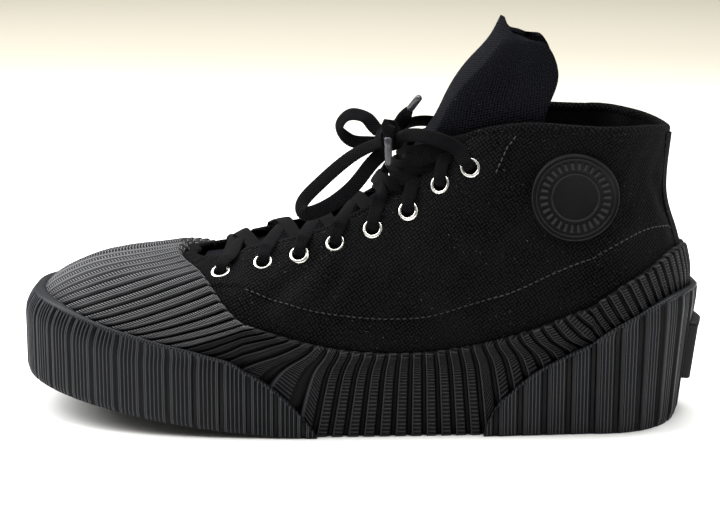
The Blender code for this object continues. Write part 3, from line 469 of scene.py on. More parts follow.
def groovedRubber(name, low, high, edge, dust):
    # The same rubber on the bumpers: rib tops painted a little paler in the edge colour as a painted highlight,
    # grooves painted near-black as painted shade. The second number of the UV map is 0 on a rib's top and 1 at the
    # bottom of a groove
    material, tree, shader, base, grit = mouldedRubber(name, low, high, dust, 0.44, 0.14)
    uv = addNode(tree, "UVMap", {}, {})
    parts = addNode(tree, "SeparateXYZ", {}, {0: uv.outputs[0]})
    # Painted highlight on the rib tops, painted near-black shade down in the grooves
    topHighlight = addNode(tree, "MapRange", {}, {0: parts.outputs[1], 1: 0.0, 2: 0.16, 3: 0.7, 4: 0.0})
    tops = addNode(tree, "Mix", colorMix, {0: topHighlight.outputs[0], 6: base, 7: hexColor(edge)})
    grooveShade = addNode(tree, "MapRange", {}, {0: parts.outputs[1], 1: 0.1, 2: 0.42, 3: 0.0, 4: 0.97})
    grooved = addNode(tree, "Mix", colorMix, {0: grooveShade.outputs[0], 6: tops.outputs[2], 7: hexColor("020202")})
    tree.links.new(grooved.outputs[2], shader.inputs["Base Color"])
    return material


def braidedCotton(name, low, high):
    # Flat tubular braid of spun cotton: slanting plaits, matt and slightly fuzzy
    plait = 0.0013                           # width of one plait in metres
    material, tree, shader = newMaterial(name, 0.9, {"Sheen Weight": 0.015, "Sheen Roughness": 0.5,
                                                     "Specular IOR Level": 0.06})
    uv = addNode(tree, "UVMap", {}, {})
    parts = addNode(tree, "SeparateXYZ", {}, {0: uv.outputs[0]})
    side = addNode(tree, "Math", {"operation": "PINGPONG"}, {0: parts.outputs[1], 1: 0.25})
    slant = addNode(tree, "Math", {"operation": "MULTIPLY_ADD"},
                    {0: side.outputs[0], 1: 0.014, 2: parts.outputs[0]})
    swell = addNode(tree, "Math", {"operation": "MULTIPLY"}, {0: slant.outputs[0], 1: 2 * math.pi / plait})
    plaits = addNode(tree, "Math", {"operation": "SINE"}, {0: swell.outputs[0]})
    body = addNode(tree, "TexCoord", {}, {})
    cloud = addNode(tree, "TexNoise", {}, {"Vector": body.outputs["Object"], "Scale": 500, "Detail": 3})
    tops = addNode(tree, "MapRange", {}, {0: plaits.outputs[0], 1: -1.0, 2: 1.0})
    # Plait tops painted lighter, varied at random along the lace: a painted highlight
    mixed = addNode(tree, "Math", {"operation": "MULTIPLY"}, {0: tops.outputs[0], 1: cloud.outputs[0]})
    braided = addNode(tree, "Mix", colorMix, {0: mixed.outputs[0], 6: hexColor(low), 7: hexColor(high)})
    tree.links.new(braided.outputs[2], shader.inputs["Base Color"])
    relief = addNode(tree, "Bump", {}, {"Strength": 0.5, "Distance": 0.0002, "Height": plaits.outputs[0]})
    tree.links.new(relief.outputs[0], shader.inputs["Normal"])
    return material


def platedBrass(name):
    # Nickel plated brass, stamped: bright with soft turning marks
    material, tree, shader = newMaterial(name, 0.24, {"Metallic": 1.0})
    body = addNode(tree, "TexCoord", {}, {})
    marks = addNode(tree, "TexNoise", {}, {"Vector": body.outputs["Object"], "Scale": 700, "Detail": 2})
    plated = addNode(tree, "Mix", colorMix, {0: marks.outputs[0], 6: hexColor("dcd9d0"), 7: hexColor("f2f0ea")})
    tree.links.new(plated.outputs[2], shader.inputs["Base Color"])
    haze = addNode(tree, "MapRange", {}, {0: marks.outputs[0], 1: 0.2, 2: 0.8, 3: 0.3, 4: 0.38})
    tree.links.new(haze.outputs[0], shader.inputs["Roughness"])
    return material


def tippingFilm(name):
    # Acetate film rolled round the lace's end: smooth, greyish, half clear
    material, tree, shader = newMaterial(name, 0.28, {"IOR": 1.47, "Coat Weight": 0.3})
    body = addNode(tree, "TexCoord", {}, {})
    cloud = addNode(tree, "TexNoise", {}, {"Vector": body.outputs["Object"], "Scale": 400, "Detail": 3})
    tinted = addNode(tree, "Mix", colorMix, {0: cloud.outputs[0], 6: hexColor("1d1e21"), 7: hexColor("45464b")})
    tree.links.new(tinted.outputs[2], shader.inputs["Base Color"])
    relief = addNode(tree, "Bump", {}, {"Strength": 0.2, "Distance": 0.0002, "Height": cloud.outputs[0]})
    tree.links.new(relief.outputs[0], shader.inputs["Normal"])
    return material


def sewingThread(name):
    # Bonded polyester thread: three plies, a little brighter than the cloth
    material, tree, shader = newMaterial(name, 0.55, {"Sheen Weight": 0.1})
    body = addNode(tree, "TexCoord", {}, {})
    plies = addNode(tree, "TexNoise", {}, {"Vector": body.outputs["Object"], "Scale": 1500, "Detail": 1})
    twisted = addNode(tree, "Mix", colorMix, {0: plies.outputs[0], 6: hexColor("030304"), 7: hexColor("101012")})
    tree.links.new(twisted.outputs[2], shader.inputs["Base Color"])
    return material


def paperSweep(name):
    # Matt paper roll: bright in front, a little warmer towards the back, and painted darker there as painted shade for
    # the light's falloff
    material, tree, shader = newMaterial(name, 0.9, {"Specular IOR Level": 0.1})
    body = addNode(tree, "TexCoord", {}, {})
    parts = addNode(tree, "SeparateXYZ", {}, {0: body.outputs["Object"]})
    back = addNode(tree, "MapRange", {"interpolation_type": "SMOOTHSTEP"}, {0: parts.outputs[1], 1: 0.05, 2: 1.25})
    grain = addNode(tree, "TexNoise", {}, {"Vector": body.outputs["Object"], "Scale": 300, "Detail": 2})
    fibre = addNode(tree, "MapRange", {}, {0: grain.outputs[0], 3: 0.0, 4: 0.03})
    # Painted shade: the colour darkens towards the back
    plain = addNode(tree, "Mix", colorMix, {0: back.outputs[0], 6: hexColor("fafaf8"), 7: hexColor("b5b0a2")})
    grainy = addNode(tree, "Mix", colorMix, {0: fibre.outputs[0], 6: plain.outputs[2], 7: hexColor("c8c4b8")})
    tree.links.new(grainy.outputs[2], shader.inputs["Base Color"])
    return material


def makeMaterials():
    return {
        "canvas": wovenCotton("wovenCottonDuck", 0.0014, 0.6, "010101", "1a1a1c", 0.3, 1.0),
        "tongue": wovenCotton("wovenTongueCotton", 0.0012, 0.35, "020203", "1b1c22", 0.15, 0.9),
        "lining": wovenCotton("wovenLiningTwill", 0.0011, 0.3, "050506", "151517", 0.1, 0.5),
        "sole": mouldedRubber("mouldedSoleRubber", "0a0a0b", "161618", "333336", 0.52)[0],
        "bumper": groovedRubber("mouldedBumperRubber", "040405", "0b0c0d", "4a4c52", "1e2023"),
        # The cap's copy of the rubber is painted lighter than the rand's, with a brighter highlight colour: painted
        # light from above on the same rubber
        "cap": ladderRubber("knurledCapRubber", "1e1e1f", "38383a", "949497", "525254", 0.12,
                            (0.09, 0.86), (0.60, 0.70), (0.11, 0.62), 0.95),
        "rand": ladderRubber("knurledRandRubber", "0a0a0b", "18181a", "47474b", "2a2a2c", 0.1,
                             (0.13, 0.82), (0.15, 0.28), (0.25, 0.80), 0.7),
        "badge": groovedRubber("mouldedBadgeRubber", "070708", "101011", "2c2c2f", "1c1c1e"),
        "metal": platedBrass("nickelPlatedBrass"),
        "lace": braidedCotton("braidedLaceCotton", "020203", "151518"),
        "aglet": tippingFilm("rolledAcetateTip"),
        "thread": sewingThread("bondedThread"),
        "paper": paperSweep("mattPaper"),
    }


materials = makeMaterials()
print("materials mixed")

# Camera at the photograph's angle
camera = {"place": (0.021, -0.895, 0.281), "down": 13.3, "turn": 1.4, "lens": 102.5, "sensor": 36.0}
lens = bpy.data.cameras.new("photoCamera")
lens.lens = camera["lens"]
lens.sensor_width = camera["sensor"]
viewer = bpy.data.objects.new("photoCamera", lens)
viewer.location = camera["place"]
viewer.rotation_euler = (math.radians(90 - camera["down"]), 0, math.radians(camera["turn"]))
bpy.context.collection.objects.link(viewer)
bpy.context.scene.camera = viewer
print("camera placed")

# Lace: flat braid, its route in shares of the length, the half ball width and the collar height
lace = {
    "width": 0.0064,
    "holeWidth": 0.0050,
    "thickness": 0.0011,
    "squareEdge": 0.7,      # 1 is an oval section, less is squarer
    "sides": 14,
    "step": 0.0011,         # along the lace, in metres
    "knot": (0.041, -0.055, 0.932),
    "knotSize": (0.0062, 0.0078, 0.0056),
    "loopOuter": ((0.0262, -0.176, 0.926), (0.013, -0.21, 0.918), (-0.016, -0.28, 0.885), (-0.052, -0.38, 0.82),
                  (-0.082, -0.45, 0.75), (-0.078, -0.52, 0.715), (-0.045, -0.48, 0.74),
                  (-0.012, -0.40, 0.795), (0.014, -0.27, 0.862), (0.0310, -0.175, 0.897)),
    "throughOuter": ((0.041, -0.10, 0.93),),
    "endOuter": ((0.044, -0.22, 0.962), (0.041, -0.26, 0.995), (0.039, -0.30, 0.992), (0.0385, -0.315, 0.968)),
    "loopInner": ((0.0248, 0.042, 0.950), (0.018, 0.07, 0.963), (0.004, 0.11, 0.995), (-0.020, 0.17, 0.998),
                  (-0.034, 0.21, 0.955), (-0.018, 0.21, 0.908), (0.012, 0.13, 0.905)),
    "throughInner": ((0.036, 0.0, 0.925),),
    "endInner": ((0.055, 0.07, 0.975), (0.062, 0.04, 1.0), (0.068, -0.02, 1.025)),
    "agletDiameter": 0.0034,
    "agletOuter": ((0.0385, -0.318, 0.957), (0.0393, -0.325, 0.862)),
    "agletInner": ((0.0695, -0.03, 1.032), (0.083, -0.11, 1.078)),
    # Where the flat side looks, evenly spaced along each half of the bow
    "facingOuter": ((-0.2, -0.7, 0.8), (-0.1, -0.8, 0.6), (-0.5, -0.9, 0.2), (-0.2, -1, -0.1),
                    (0.3, -0.9, 0.3), (0, -1, 0.2), (-0.6, -0.8, 0.2)),
    "facingInner": ((-0.2, -0.6, 0.8), (-0.3, -0.5, 0.9), (-0.9, -0.5, 0.1), (0.1, -0.9, -0.3),
                    (0, -0.8, 0.5), (0.2, -0.9, 0.4), (-0.4, -0.8, 0.4)),
    # Radius and height of the rolled tip as shares of its own
    "agletProfile": ((0.0, 0.0), (0.8, 0.0), (1.0, 0.04), (1.0, 0.3), (0.93, 0.36), (0.98, 0.42),
                     (0.94, 0.9), (0.84, 0.985), (0.0, 1.0)),
}


def shoePoint(shares):
    # Metres from shares of the length, the half ball width and the collar height
    x, y, z = shares
    return np.array((x * shoe["length"], y * shoe["ballOuter"], z * shoe["collar"]))


def evenRoute(points, others, step):
    # Evenly spaced points on a smooth curve, with other values carried along
    turns = np.arange(len(points))
    values = np.hstack([np.array(points, float), np.array(others, float)])
    fine = smoothTable(turns, values, np.linspace(0, turns[-1], 400))
    run = runLength(fine[:, :3])
    picks = np.linspace(0, run[-1], max(4, round(run[-1] / step) + 1))
    return np.stack([np.interp(picks, run, fine[:, k]) for k in range(fine.shape[1])], axis=1), run[-1]


def ribbonWork(work, points, facings, widths, thickness):
    # Flat braid with rounded edges along a route, its flat side towards the facings
    values, length = evenRoute(points, np.hstack([facings, np.reshape(widths, (-1, 1))]), lace["step"])
    line = values[:, :3]
    run = np.gradient(line, axis=0)
    run /= np.linalg.norm(run, axis=1, keepdims=True)
    across = np.cross(run, values[:, 3:6])
    across /= np.linalg.norm(across, axis=1, keepdims=True)
    face = np.cross(across, run)

    def shape(u, v):
        i = np.rint(u).astype(int)
        flat, bulge = np.cos(v), np.sign(np.sin(v)) * np.abs(np.sin(v)) ** lace["squareEdge"]
        return line[i] + across[i] * (flat * values[i, 6] / 2)[:, None] + face[i] * (bulge * thickness / 2)[:, None]

    part = gridWork(np.arange(len(line)), np.linspace(0, 2 * math.pi, lace["sides"] + 1), shape,
                    lambda u, v: np.stack([u / (len(line) - 1) * length, v / (2 * math.pi)], axis=1))
    closeTube(part)
    joinInto(work, part)
    return line, length


def joinInto(work, part):
    # Adds one finished part to a piece made of several
    mesh = bpy.data.meshes.new("part")
    part.to_mesh(mesh)
    part.free()
    work.from_mesh(mesh)
    bpy.data.meshes.remove(mesh)


def makeBow(side):
    # One half of the bow: its loop, the way back through the knot and its end, into the tip
    word = side.lower()
    loop = lace["loop" + side]
    facings = np.array(lace["facing" + side], float)
    route = [shoePoint(p) for p in loop + lace["through" + side] + lace["end" + side]]
    tipTop, tipEnd = (shoePoint(p) for p in lace["aglet" + side])
    route.append(tipTop + (tipTop - tipEnd) * -0.12)
    count = len(route)
    turns = np.linspace(0, 1, len(facings))
    face = np.stack([np.interp(np.linspace(0, 1, count), turns, facings[:, k]) for k in range(3)], axis=1)
    widths = np.full(count, lace["width"])
    widths[len(loop)] = lace["width"] * 0.75
    widths[-1] = lace["agletDiameter"] * 0.85
    widths[-2] = lace["width"] * 0.72
    work = bmesh.new()
    line, length = ribbonWork(work, route, face, widths, lace["thickness"])
    bow = finishPiece("bow" + side, work, materials["lace"])
    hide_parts("lace_loop_" + word, "lace_end_" + word)
    return bow, line, length


def spinProfile(work, profile, steps):
    # A few points of radius and height, spun once round
    verts = [work.verts.new((radius, 0, z)) for radius, z in profile]
    edges = [work.edges.new(pair) for pair in zip(verts, verts[1:])]
    bmesh.ops.spin(work, geom=verts + edges, cent=(0, 0, 0), axis=(0, 0, 1), angle=2 * math.pi,
                   steps=steps, use_merge=True)


def makeAglet(side):
    # A rolled tube: a thin cone of film with a rounded mouth
    top, tip = (Vector(shoePoint(p)) for p in lace["aglet" + side])
    radius, height = lace["agletDiameter"] / 2, (tip - top).length
    work = bmesh.new()
    spinProfile(work, [(radius * r, height * z) for r, z in lace["agletProfile"]], 20)
    bmesh.ops.remove_doubles(work, verts=work.verts, dist=0.000002)
    bmesh.ops.recalc_face_normals(work, faces=work.faces)
    turn = (tip - top).to_track_quat("Z", "Y").to_matrix().to_4x4()
    bmesh.ops.transform(work, matrix=Matrix.Translation(top) @ turn, verts=work.verts)
    aglet = finishPiece("aglet" + side, work, materials["aglet"])
    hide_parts("aglet_" + side.lower())
    return aglet


# Each half of the bow is one free cord as long as the photograph shows, from the knot to its tip
for side in ("Outer", "Inner"):
    tip = makeAglet(side)
    bow, line, length = makeBow(side)
    tuple(line[0])
    [tuple(p) for p in line]
    print("bow", side.lower(), "half tied,", round(length * 1000, 1), "mm")

# Canvas creases: column and level of both ends, width and depth in metres, side
creases = {
    "cells": (520, 84),
    "lines": (
        (1.18, 4.6, 1.02, 3.1, 0.0040, 0.0010, -1), (1.30, 4.6, 1.22, 3.2, 0.0034, 0.0008, -1),
        (1.42, 4.6, 1.50, 3.3, 0.0036, 0.0009, -1), (1.55, 4.5, 1.70, 3.0, 0.0050, 0.0012, -1),
        (1.66, 4.6, 1.95, 3.8, 0.0046, 0.0013, -1), (1.85, 5.6, 1.80, 4.4, 0.0052, 0.0012, -1),
        (2.05, 3.2, 2.55, 3.9, 0.0060, 0.0012, -1), (2.10, 5.4, 2.45, 4.4, 0.0060, -0.0008, -1),
        (2.62, 5.3, 2.85, 4.3, 0.0050, 0.0010, -1), (1.90, 2.9, 2.15, 3.4, 0.0040, 0.0008, -1),
        (1.20, 4.5, 1.06, 3.2, 0.0042, 0.0010, 1), (1.36, 4.6, 1.34, 3.2, 0.0036, 0.0009, 1),
        (1.52, 4.6, 1.66, 3.1, 0.0046, 0.0011, 1), (1.80, 5.4, 1.86, 4.2, 0.0050, 0.0011, 1),
        (2.15, 4.9, 2.60, 4.0, 0.0060, 0.0010, 1), (2.60, 5.3, 2.86, 4.2, 0.0050, 0.0010, 1),
    ),
}
eyelets = {
    "columns": (0.741, 1.05, 1.156, 1.261, 1.369, 1.471, 1.563, 1.649),
    "level": 5.0,
    "radius": 0.00465,
    "hole": 0.0029,
    "rise": 0.0010,
    "lift": 0.00045,
    "opening": 0.0038,
}
# Side seam as levels over columns, rear edge of the eyelet panel as columns over levels
seams = {
    "side": ((0.96, 1.16, 1.31, 1.45, 1.59, 1.73, 1.91, 2.20, 2.77),
             (4.30, 3.40, 3.05, 2.90, 2.80, 3.00, 3.40, 3.75, 4.15)),
    "stay": ((4.35, 4.80, 5.25, 5.60, 5.92), (1.69, 1.71, 1.735, 1.755, 1.79)),
    "panel": 0.0007,        # thickness of the overlaid panel
    "uneven": 0.00022,
}


def flatSpot(s, level):
    # Lengths along the canvas in metres, for the weave and the creases
    return np.stack([look("run", s, level), look("rise", s, level)], axis=-1)


def canvasLift(s, level):
    # Soft troughs and ridges, the overlaid panels' steps and a slow hand-sewn unevenness
    spot = flatSpot(s, level)
    lift = np.zeros(len(s))
    for columnA, levelA, columnB, levelB, width, depth, side in creases["lines"]:
        a, b = flatSpot(side * columnA, levelA), flatSpot(side * columnB, levelB)
        along = b - a
        share = np.clip(((spot - a) @ along) / (along @ along), 0, 1)
        across = np.linalg.norm(spot - a - share[:, None] * along, axis=1) / width
        trough = -np.exp(-across ** 2) + 0.55 * np.exp(-(across - 1.9) ** 2)
        fade = np.sin(math.pi * np.clip(share, 0.04, 0.96)) ** 0.7
        lift += depth * np.where(np.sign(s) == side, 1, 0) * trough * fade
    column = np.abs(s)
    above = look("rise", s, level) - look("rise", s, smoothTable(*seams["side"], column))
    ahead = np.interp(level, *seams["stay"]) - column
    lift += seams["panel"] * smoothStep(-0.0004, 0.0006, above) * smoothStep(0.0, 0.012, ahead + 0.006)
    wave = np.sin(spot[:, 0] * 190) * np.sin(spot[:, 1] * 160 + 1.3)
    wave = wave + 0.6 * np.sin(spot[:, 0] * 410 + spot[:, 1] * 300)
    return lift + seams["uneven"] * wave


def makeCanvas():
    spots = np.linspace(-3, 3, creases["cells"][0] + 1)
    levels = np.linspace(0.9, 6.0, creases["cells"][1] + 1)

    def shape(u, v):
        lift = canvasLift(u, v) * smoothStep(6.0, 5.8, v)
        hidden = v < smoothTable(randEdge[0], randEdge[1], np.abs(u)) + 0.05
        return skin(u, v, np.where(hidden, np.minimum(lift, 0), lift))

    upper = gridPiece("upperCanvas", spots, levels, shape, materials["canvas"], flatSpot, closed=True)
    cut = bmesh.new()
    cut.from_mesh(upper.data)
    centres = [skinSpot(side * c, eyelets["level"]) for side in (-1, 1) for c in eyelets["columns"]]
    gone = [f for f in cut.faces if min((f.calc_center_median() - c).length for c in centres) < eyelets["opening"]]
    bmesh.ops.delete(cut, geom=gone, context="FACES")
    cut.to_mesh(upper.data)
    cut.free()
    faceTowards(upper, (0, -1, 0), skinSpot(-1.5, 3.5))
    upper.data.materials.append(materials["lining"])
    thicken(upper, "clothThickness", shoe["canvas"]).material_offset = 1
    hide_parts("upper")


makeCanvas()
print("canvas sewn")


def sweepRing(name, points, outs, ups, width, height, material):
    # A rounded band along a line: width along outs, height along ups
    def shape(u, v):
        i = np.rint(u).astype(int)
        a = v * 2 * math.pi
        return points[i] + outs[i] * (np.cos(a) * width / 2)[:, None] + ups[i] * (np.sin(a) * height / 2)[:, None]

    run = runLength(points)
    work = gridWork(np.arange(len(points)), np.linspace(0, 1, 13), shape,
                    lambda u, v: np.stack([run[np.rint(u).astype(int)], v * (width + height) * 1.3], axis=1))
    closeTube(work)
    return finishPiece(name, work, material)


# Folded edge: section in metres, column where it starts at the throat, lift above the rim
binding = {"width": 0.0031, "height": 0.0046, "start": 0.42, "lift": 0.0004}


def makeBinding():
    # Folded edge of the canvas along the throat and the collar
    far = np.linspace(binding["start"], 3.0, 330)
    spots = np.concatenate([-far, far[::-1][1:]])
    rim = skin(spots, 5.97, -shoe["canvas"] / 2)
    outward = skin(spots, 5.97, 0.0) - rim
    outward /= np.linalg.norm(outward, axis=1, keepdims=True)
    along = np.gradient(rim, axis=0)
    along /= np.linalg.norm(along, axis=1, keepdims=True)
    up = np.cross(outward, along)
    up *= np.sign(up[:, 2:3])
    edge = sweepRing("collarBinding", rim + up * binding["lift"], outward, up,
                     binding["width"], binding["height"], materials["canvas"])


makeBinding()


def stitchRow(work, spots, levels, lift, pitch, size):
    # Stitches laid end to end along a row, sunk at both ends
    line = skin(spots, levels, lift)
    base = skin(spots, levels, lift - 0.001)
    run = runLength(line)
    for at in np.arange(pitch / 2, run[-1], pitch):
        centre, low, ahead = (Vector([np.interp(p, run, l[:, k]) for k in range(3)]) for p, l in
                              ((at, line), (at, base), (at + 0.0005, line)))
        along = (ahead - centre).normalized()
        out = (centre - low).normalized()
        across = out.cross(along).normalized()
        turn = Matrix((along, across, out)).transposed().to_4x4()
        turn.translation = centre
        made = bmesh.ops.create_icosphere(work, subdivisions=1, radius=0.5)
        bmesh.ops.transform(work, matrix=turn @ Matrix.Diagonal((*size, 1)), verts=made["verts"])


# Stitch spacing and each stitch's length, width and height
stitches = {"pitch": 0.0027, "size": (0.0023, 0.0007, 0.0005)}


def makeStitches():
    work = bmesh.new()
    for side in (-1, 1):
        columns = np.linspace(1.0, 2.95, 260)
        levels = smoothTable(*seams["side"], columns)
        spots = side * columns
        keep = levels > smoothTable(randEdge[0], randEdge[1], columns) + 0.12
        lift = canvasLift(spots, levels) + 0.0001
        stitchRow(work, spots[keep], levels[keep], lift[keep], stitches["pitch"], stitches["size"])
        levels = np.linspace(5.85, 5.1, 40)
        columns = np.interp(levels, *seams["stay"]) - 0.004
        lift = canvasLift(side * columns, levels) + 0.0001
        stitchRow(work, side * columns, levels, lift, stitches["pitch"], stitches["size"])
    rows = finishPiece("seamStitches", work, materials["thread"])


makeStitches()

# Back strip: half its width in columns, rise in metres, levels of its ends
heelStrip = {"half": 0.155, "rise": 0.0009, "low": 3.72, "high": 5.93}


def makeHeelStrip():
    # Doubled canvas strip over the back seam
    edge = heelStrip["half"]
    across = np.linspace(-edge, edge, 25)
    up = np.linspace(heelStrip["low"], heelStrip["high"], 50)

    def shape(u, v):
        s = np.where(u < 0, -3 - u, 3 - u)
        lift = canvasLift(s, v) * 0.3 + heelStrip["rise"] + 0.0003 * np.cos(u / edge * math.pi)
        return skin(s, v, lift)

    strip = gridPiece("heelStrip", across, up, shape, materials["canvas"],
                      lambda u, v: np.stack([u * 0.06, v * 0.02], axis=1))
    faceTowards(strip, (1, 0, 0))
    thicken(strip, "stripThickness", heelStrip["rise"])


makeHeelStrip()
print("seams sewn")

ribs = {
    # Place across one rib, toe side first, and height as a share of the rib's rise
    "capProfile": ((-0.5, -0.3), (-0.41, -0.2), (-0.35, 0.75), (-0.28, 1.0), (-0.08, 1.1),
                   (0.12, 0.95), (0.16, 0.62), (0.30, 0.5), (0.36, 0.25), (0.42, -0.2)),
    "sideProfile": ((-0.5, -0.3), (-0.38, -0.25), (-0.33, 0.8), (-0.29, 1.05), (-0.23, 1.0),
                    (-0.20, 0.78), (-0.16, 0.88), (0.25, 0.86), (0.30, 0.6), (0.35, -0.25)),
    "toeRows": 64,
    "sideRows": 36,
    "split": 1.02,          # column where the toe cap ends and the rand begins
}


def edgeRun(side):
    columns = np.linspace(0, 3, 361)
    points = skin(side * columns, smoothTable(*randEdge, columns), rubberOut)
    return columns, runLength(points)


def makeRibs():
    tables = {side: edgeRun(side) for side in (-1, 1)}
    count = round(tables[-1][1][-1] / rubber["ribPitch"])
    columns, run = tables[-1]
    split = round(np.interp(ribs["split"], columns, run) / run[-1] * count)
    places = [(rib + at, lift) for rib in range(count + 1)
              for at, lift in ribs["capProfile" if rib <= split else "sideProfile"]]
    places = [p for p in places if 0 < p[0] < count]
    turns = np.array([0.0] + [p[0] for p in places] + [float(count)])
    lifts = np.array([0.96] + [p[1] for p in places] + [0.9])

    def halfShape(side):
        # A rib runs from its foot behind the bumper to the upper edge, thinner at the very top
        columns, run = tables[side]

        def shape(u, v):
            above = np.interp(u / count * run[-1], run, columns)
            below = np.interp(above, *ribTurn)
            hidden = bumperHeight(below) - rubber["overlap"] + rubber["tuck"]
            foot = place(side * below, soleRadius(side * below), 0)[:, 0]
            bottom = np.maximum(ground(foot), hidden)
            start = atHeight(side * below, bottom, rubberOut, "level")
            stop = smoothTable(*randEdge, above)
            share = np.clip(v, 0, 1)
            column = below + (above - below) * share
            lift = np.interp(u, turns, lifts) * rubber["ribRise"]
            top = smoothStep(1.0, 0.965, share)
            body = rubber["gap"] + rubber["sheet"] * (0.35 + 0.65 * top) + lift * (0.15 + 0.85 * top)
            offset = np.where(v > 1.0, rubber["gap"] * 0.3, body)
            points = skin(side * column, start + (stop - start) * share, offset)
            points[:, 2] = np.maximum(points[:, 2], ground(points[:, 0]))
            return points

        def uv(u, v):
            ends = [shape(turns, np.full(len(turns), share)) for share in (0.0, 0.5, 1.0)]
            lengths = np.linalg.norm(ends[1] - ends[0], axis=1) + np.linalg.norm(ends[2] - ends[1], axis=1)
            return np.stack([u + 0.5, v * np.interp(u, turns, lengths)], axis=1)

        return shape, uv

    for side, word in ((-1, "Outer"), (1, "Inner")):
        shape, uv = halfShape(side)
        cutTurn = split + 0.5
        for part, picks, rows, material in (("toeCap", turns <= cutTurn, ribs["toeRows"], materials["cap"]),
                                            ("rand", turns >= cutTurn - 1e-6, ribs["sideRows"], materials["rand"])):
            ups = np.concatenate([np.linspace(0, 1, rows), [1.01]])
            piece = gridPiece(part + word, turns[picks], ups, shape, material, uv, flip=side < 0)
            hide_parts("rubber_shell")


makeRibs()
print("ribs moulded")

bumperDetail = {
    "toeRib": 0.0019,
    "toeRibRise": 0.0008,
    "heelRib": 0.0015,
    "heelRibRise": 0.00055,
    "heelStrip": (0.61, 0.79),      # where the raised smooth strip lies, as shares of a group
    "stripRise": 0.0003,
    "lipWidth": 0.0010,
    "bead": (0.0002, 0.0014),       # rise and pitch of the beads on the upper edge
    "steps": 44,                    # points across one group
}


def makeBumper(name, node, start, stop, pitch, toe):
    # Two halves from the middle of the toe or heel, groups of fine ribs with a deep groove between
    stripStart, stripStop = bumperDetail["heelStrip"]
    lip, (beadRise, beadPitch) = bumperDetail["lipWidth"], bumperDetail["bead"]
    fine = bumperDetail["toeRib" if toe else "heelRib"]
    rise = bumperDetail["toeRibRise" if toe else "heelRibRise"]
    for side, word in ((-1, "Outer"), (1, "Inner")):
        columns = np.linspace(start, stop, 361)
        points = place(side * columns, soleRadius(side * columns), 0)
        run = runLength(points)
        count = round(run[-1] / pitch)
        step = 1 / bumperDetail["steps"]
        turns = np.arange(0, count + step / 2, step)

        def relief(turn):
            # Depth of the deep groove and of the fine ribs at a place counted in groups
            away = np.abs(turn - np.floor(turn) - 0.5) * pitch
            deep = smoothStep(0.5 * bumper["groove"] + 0.0003, 0.5 * bumper["groove"] - 0.0003, away)
            wave = rise * (0.5 + 0.5 * np.cos(2 * math.pi * (away - pitch / 2) / fine)) - rise
            if toe:
                strip = smoothStep(0.5 * bumper["groove"] + 0.0009, 0.5 * bumper["groove"] + 0.0005, away)
                wave = wave * (1 - strip)
            else:
                phase = turn - np.floor(turn)
                strip = (smoothStep(stripStart, stripStart + 0.02, phase)
                         * smoothStep(stripStop, stripStop - 0.02, phase))
                wave = wave * (1 - strip) + bumperDetail["stripRise"] * strip
            return wave * (1 - deep) - bumper["grooveDepth"] * deep

        ups = np.concatenate([np.linspace(0, 0.86, 12),
                              [0.90, 0.925, 0.94, 0.955, 0.97, 0.985, 0.995, 1.0, 1.02, 1.04]])

        def shape(u, v):
            column = np.interp(u / count * run[-1], run, columns)
            s = side * column
            foot = ground(place(s, soleRadius(s), 0)[:, 0])
            top = np.maximum(bumperHeight(column), foot + 0.0012)
            share = np.clip(v, 0, 1)
            z = foot + (top - foot) * share
            down = top - z
            radius = wallRadius(s, z, top)
            plain = smoothStep(lip, lip * 1.5, down) * smoothStep(0.0, 0.0016, z - foot + 0.0004)
            radius = radius + relief(u) * plain
            bead = np.exp(-((down - 0.5 * lip) / (0.4 * lip)) ** 2)
            radius = radius + beadRise * bead * (0.7 + 0.3 * np.cos(2 * math.pi * u * pitch / beadPitch))
            # Rounded upper and lower edges
            radius = radius - 0.0007 * np.maximum(0, 1 - down / 0.0005)
            radius = radius - 0.0008 * np.maximum(0, 1 - (z - foot) / 0.0012)
            inner = atHeight(s, top, rubberOut + bumper["fit"], "radius")
            radius = np.where(v > 1.03, inner - 0.0012, np.where(v > 1.0, inner, radius))
            z = np.where(v > 1.03, z - 0.0022, z)
            return place(s, radius, z)

        def uv(u, v):
            # Second number: 0 on rib tops, which get a painted highlight, 1 down in the grooves, which get painted
            # shade
            grooveShade = np.clip(-relief(u) / bumper["grooveDepth"], 0, 1)
            # The heel strip's middle gets less painted highlight
            if not toe:
                phase = u - np.floor(u)
                inside = (smoothStep(stripStart + 0.01, stripStart + 0.03, phase)
                          * smoothStep(stripStop - 0.01, stripStop - 0.03, phase))
                grooveShade = np.maximum(grooveShade, 0.13 * inside)
            # Painted highlight and shade alternate along the beads of the upper edge
            beads = 0.13 + 0.1 * np.cos(u * pitch * 4400)
            return np.stack([u * pitch, np.where(v < 0.96, grooveShade, beads)], axis=1)

        piece = gridPiece(name + word, turns, ups, shape, materials["bumper"], uv, flip=side < 0)
        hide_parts(node)


makeBumper("toeBumper", "toe_bumper", 0.0, 1.212, bumper["toeGroup"], True)
makeBumper("heelBumper", "heel_bumper", 1.692, 3.0, bumper["heelGroup"], False)
print("bumpers moulded")

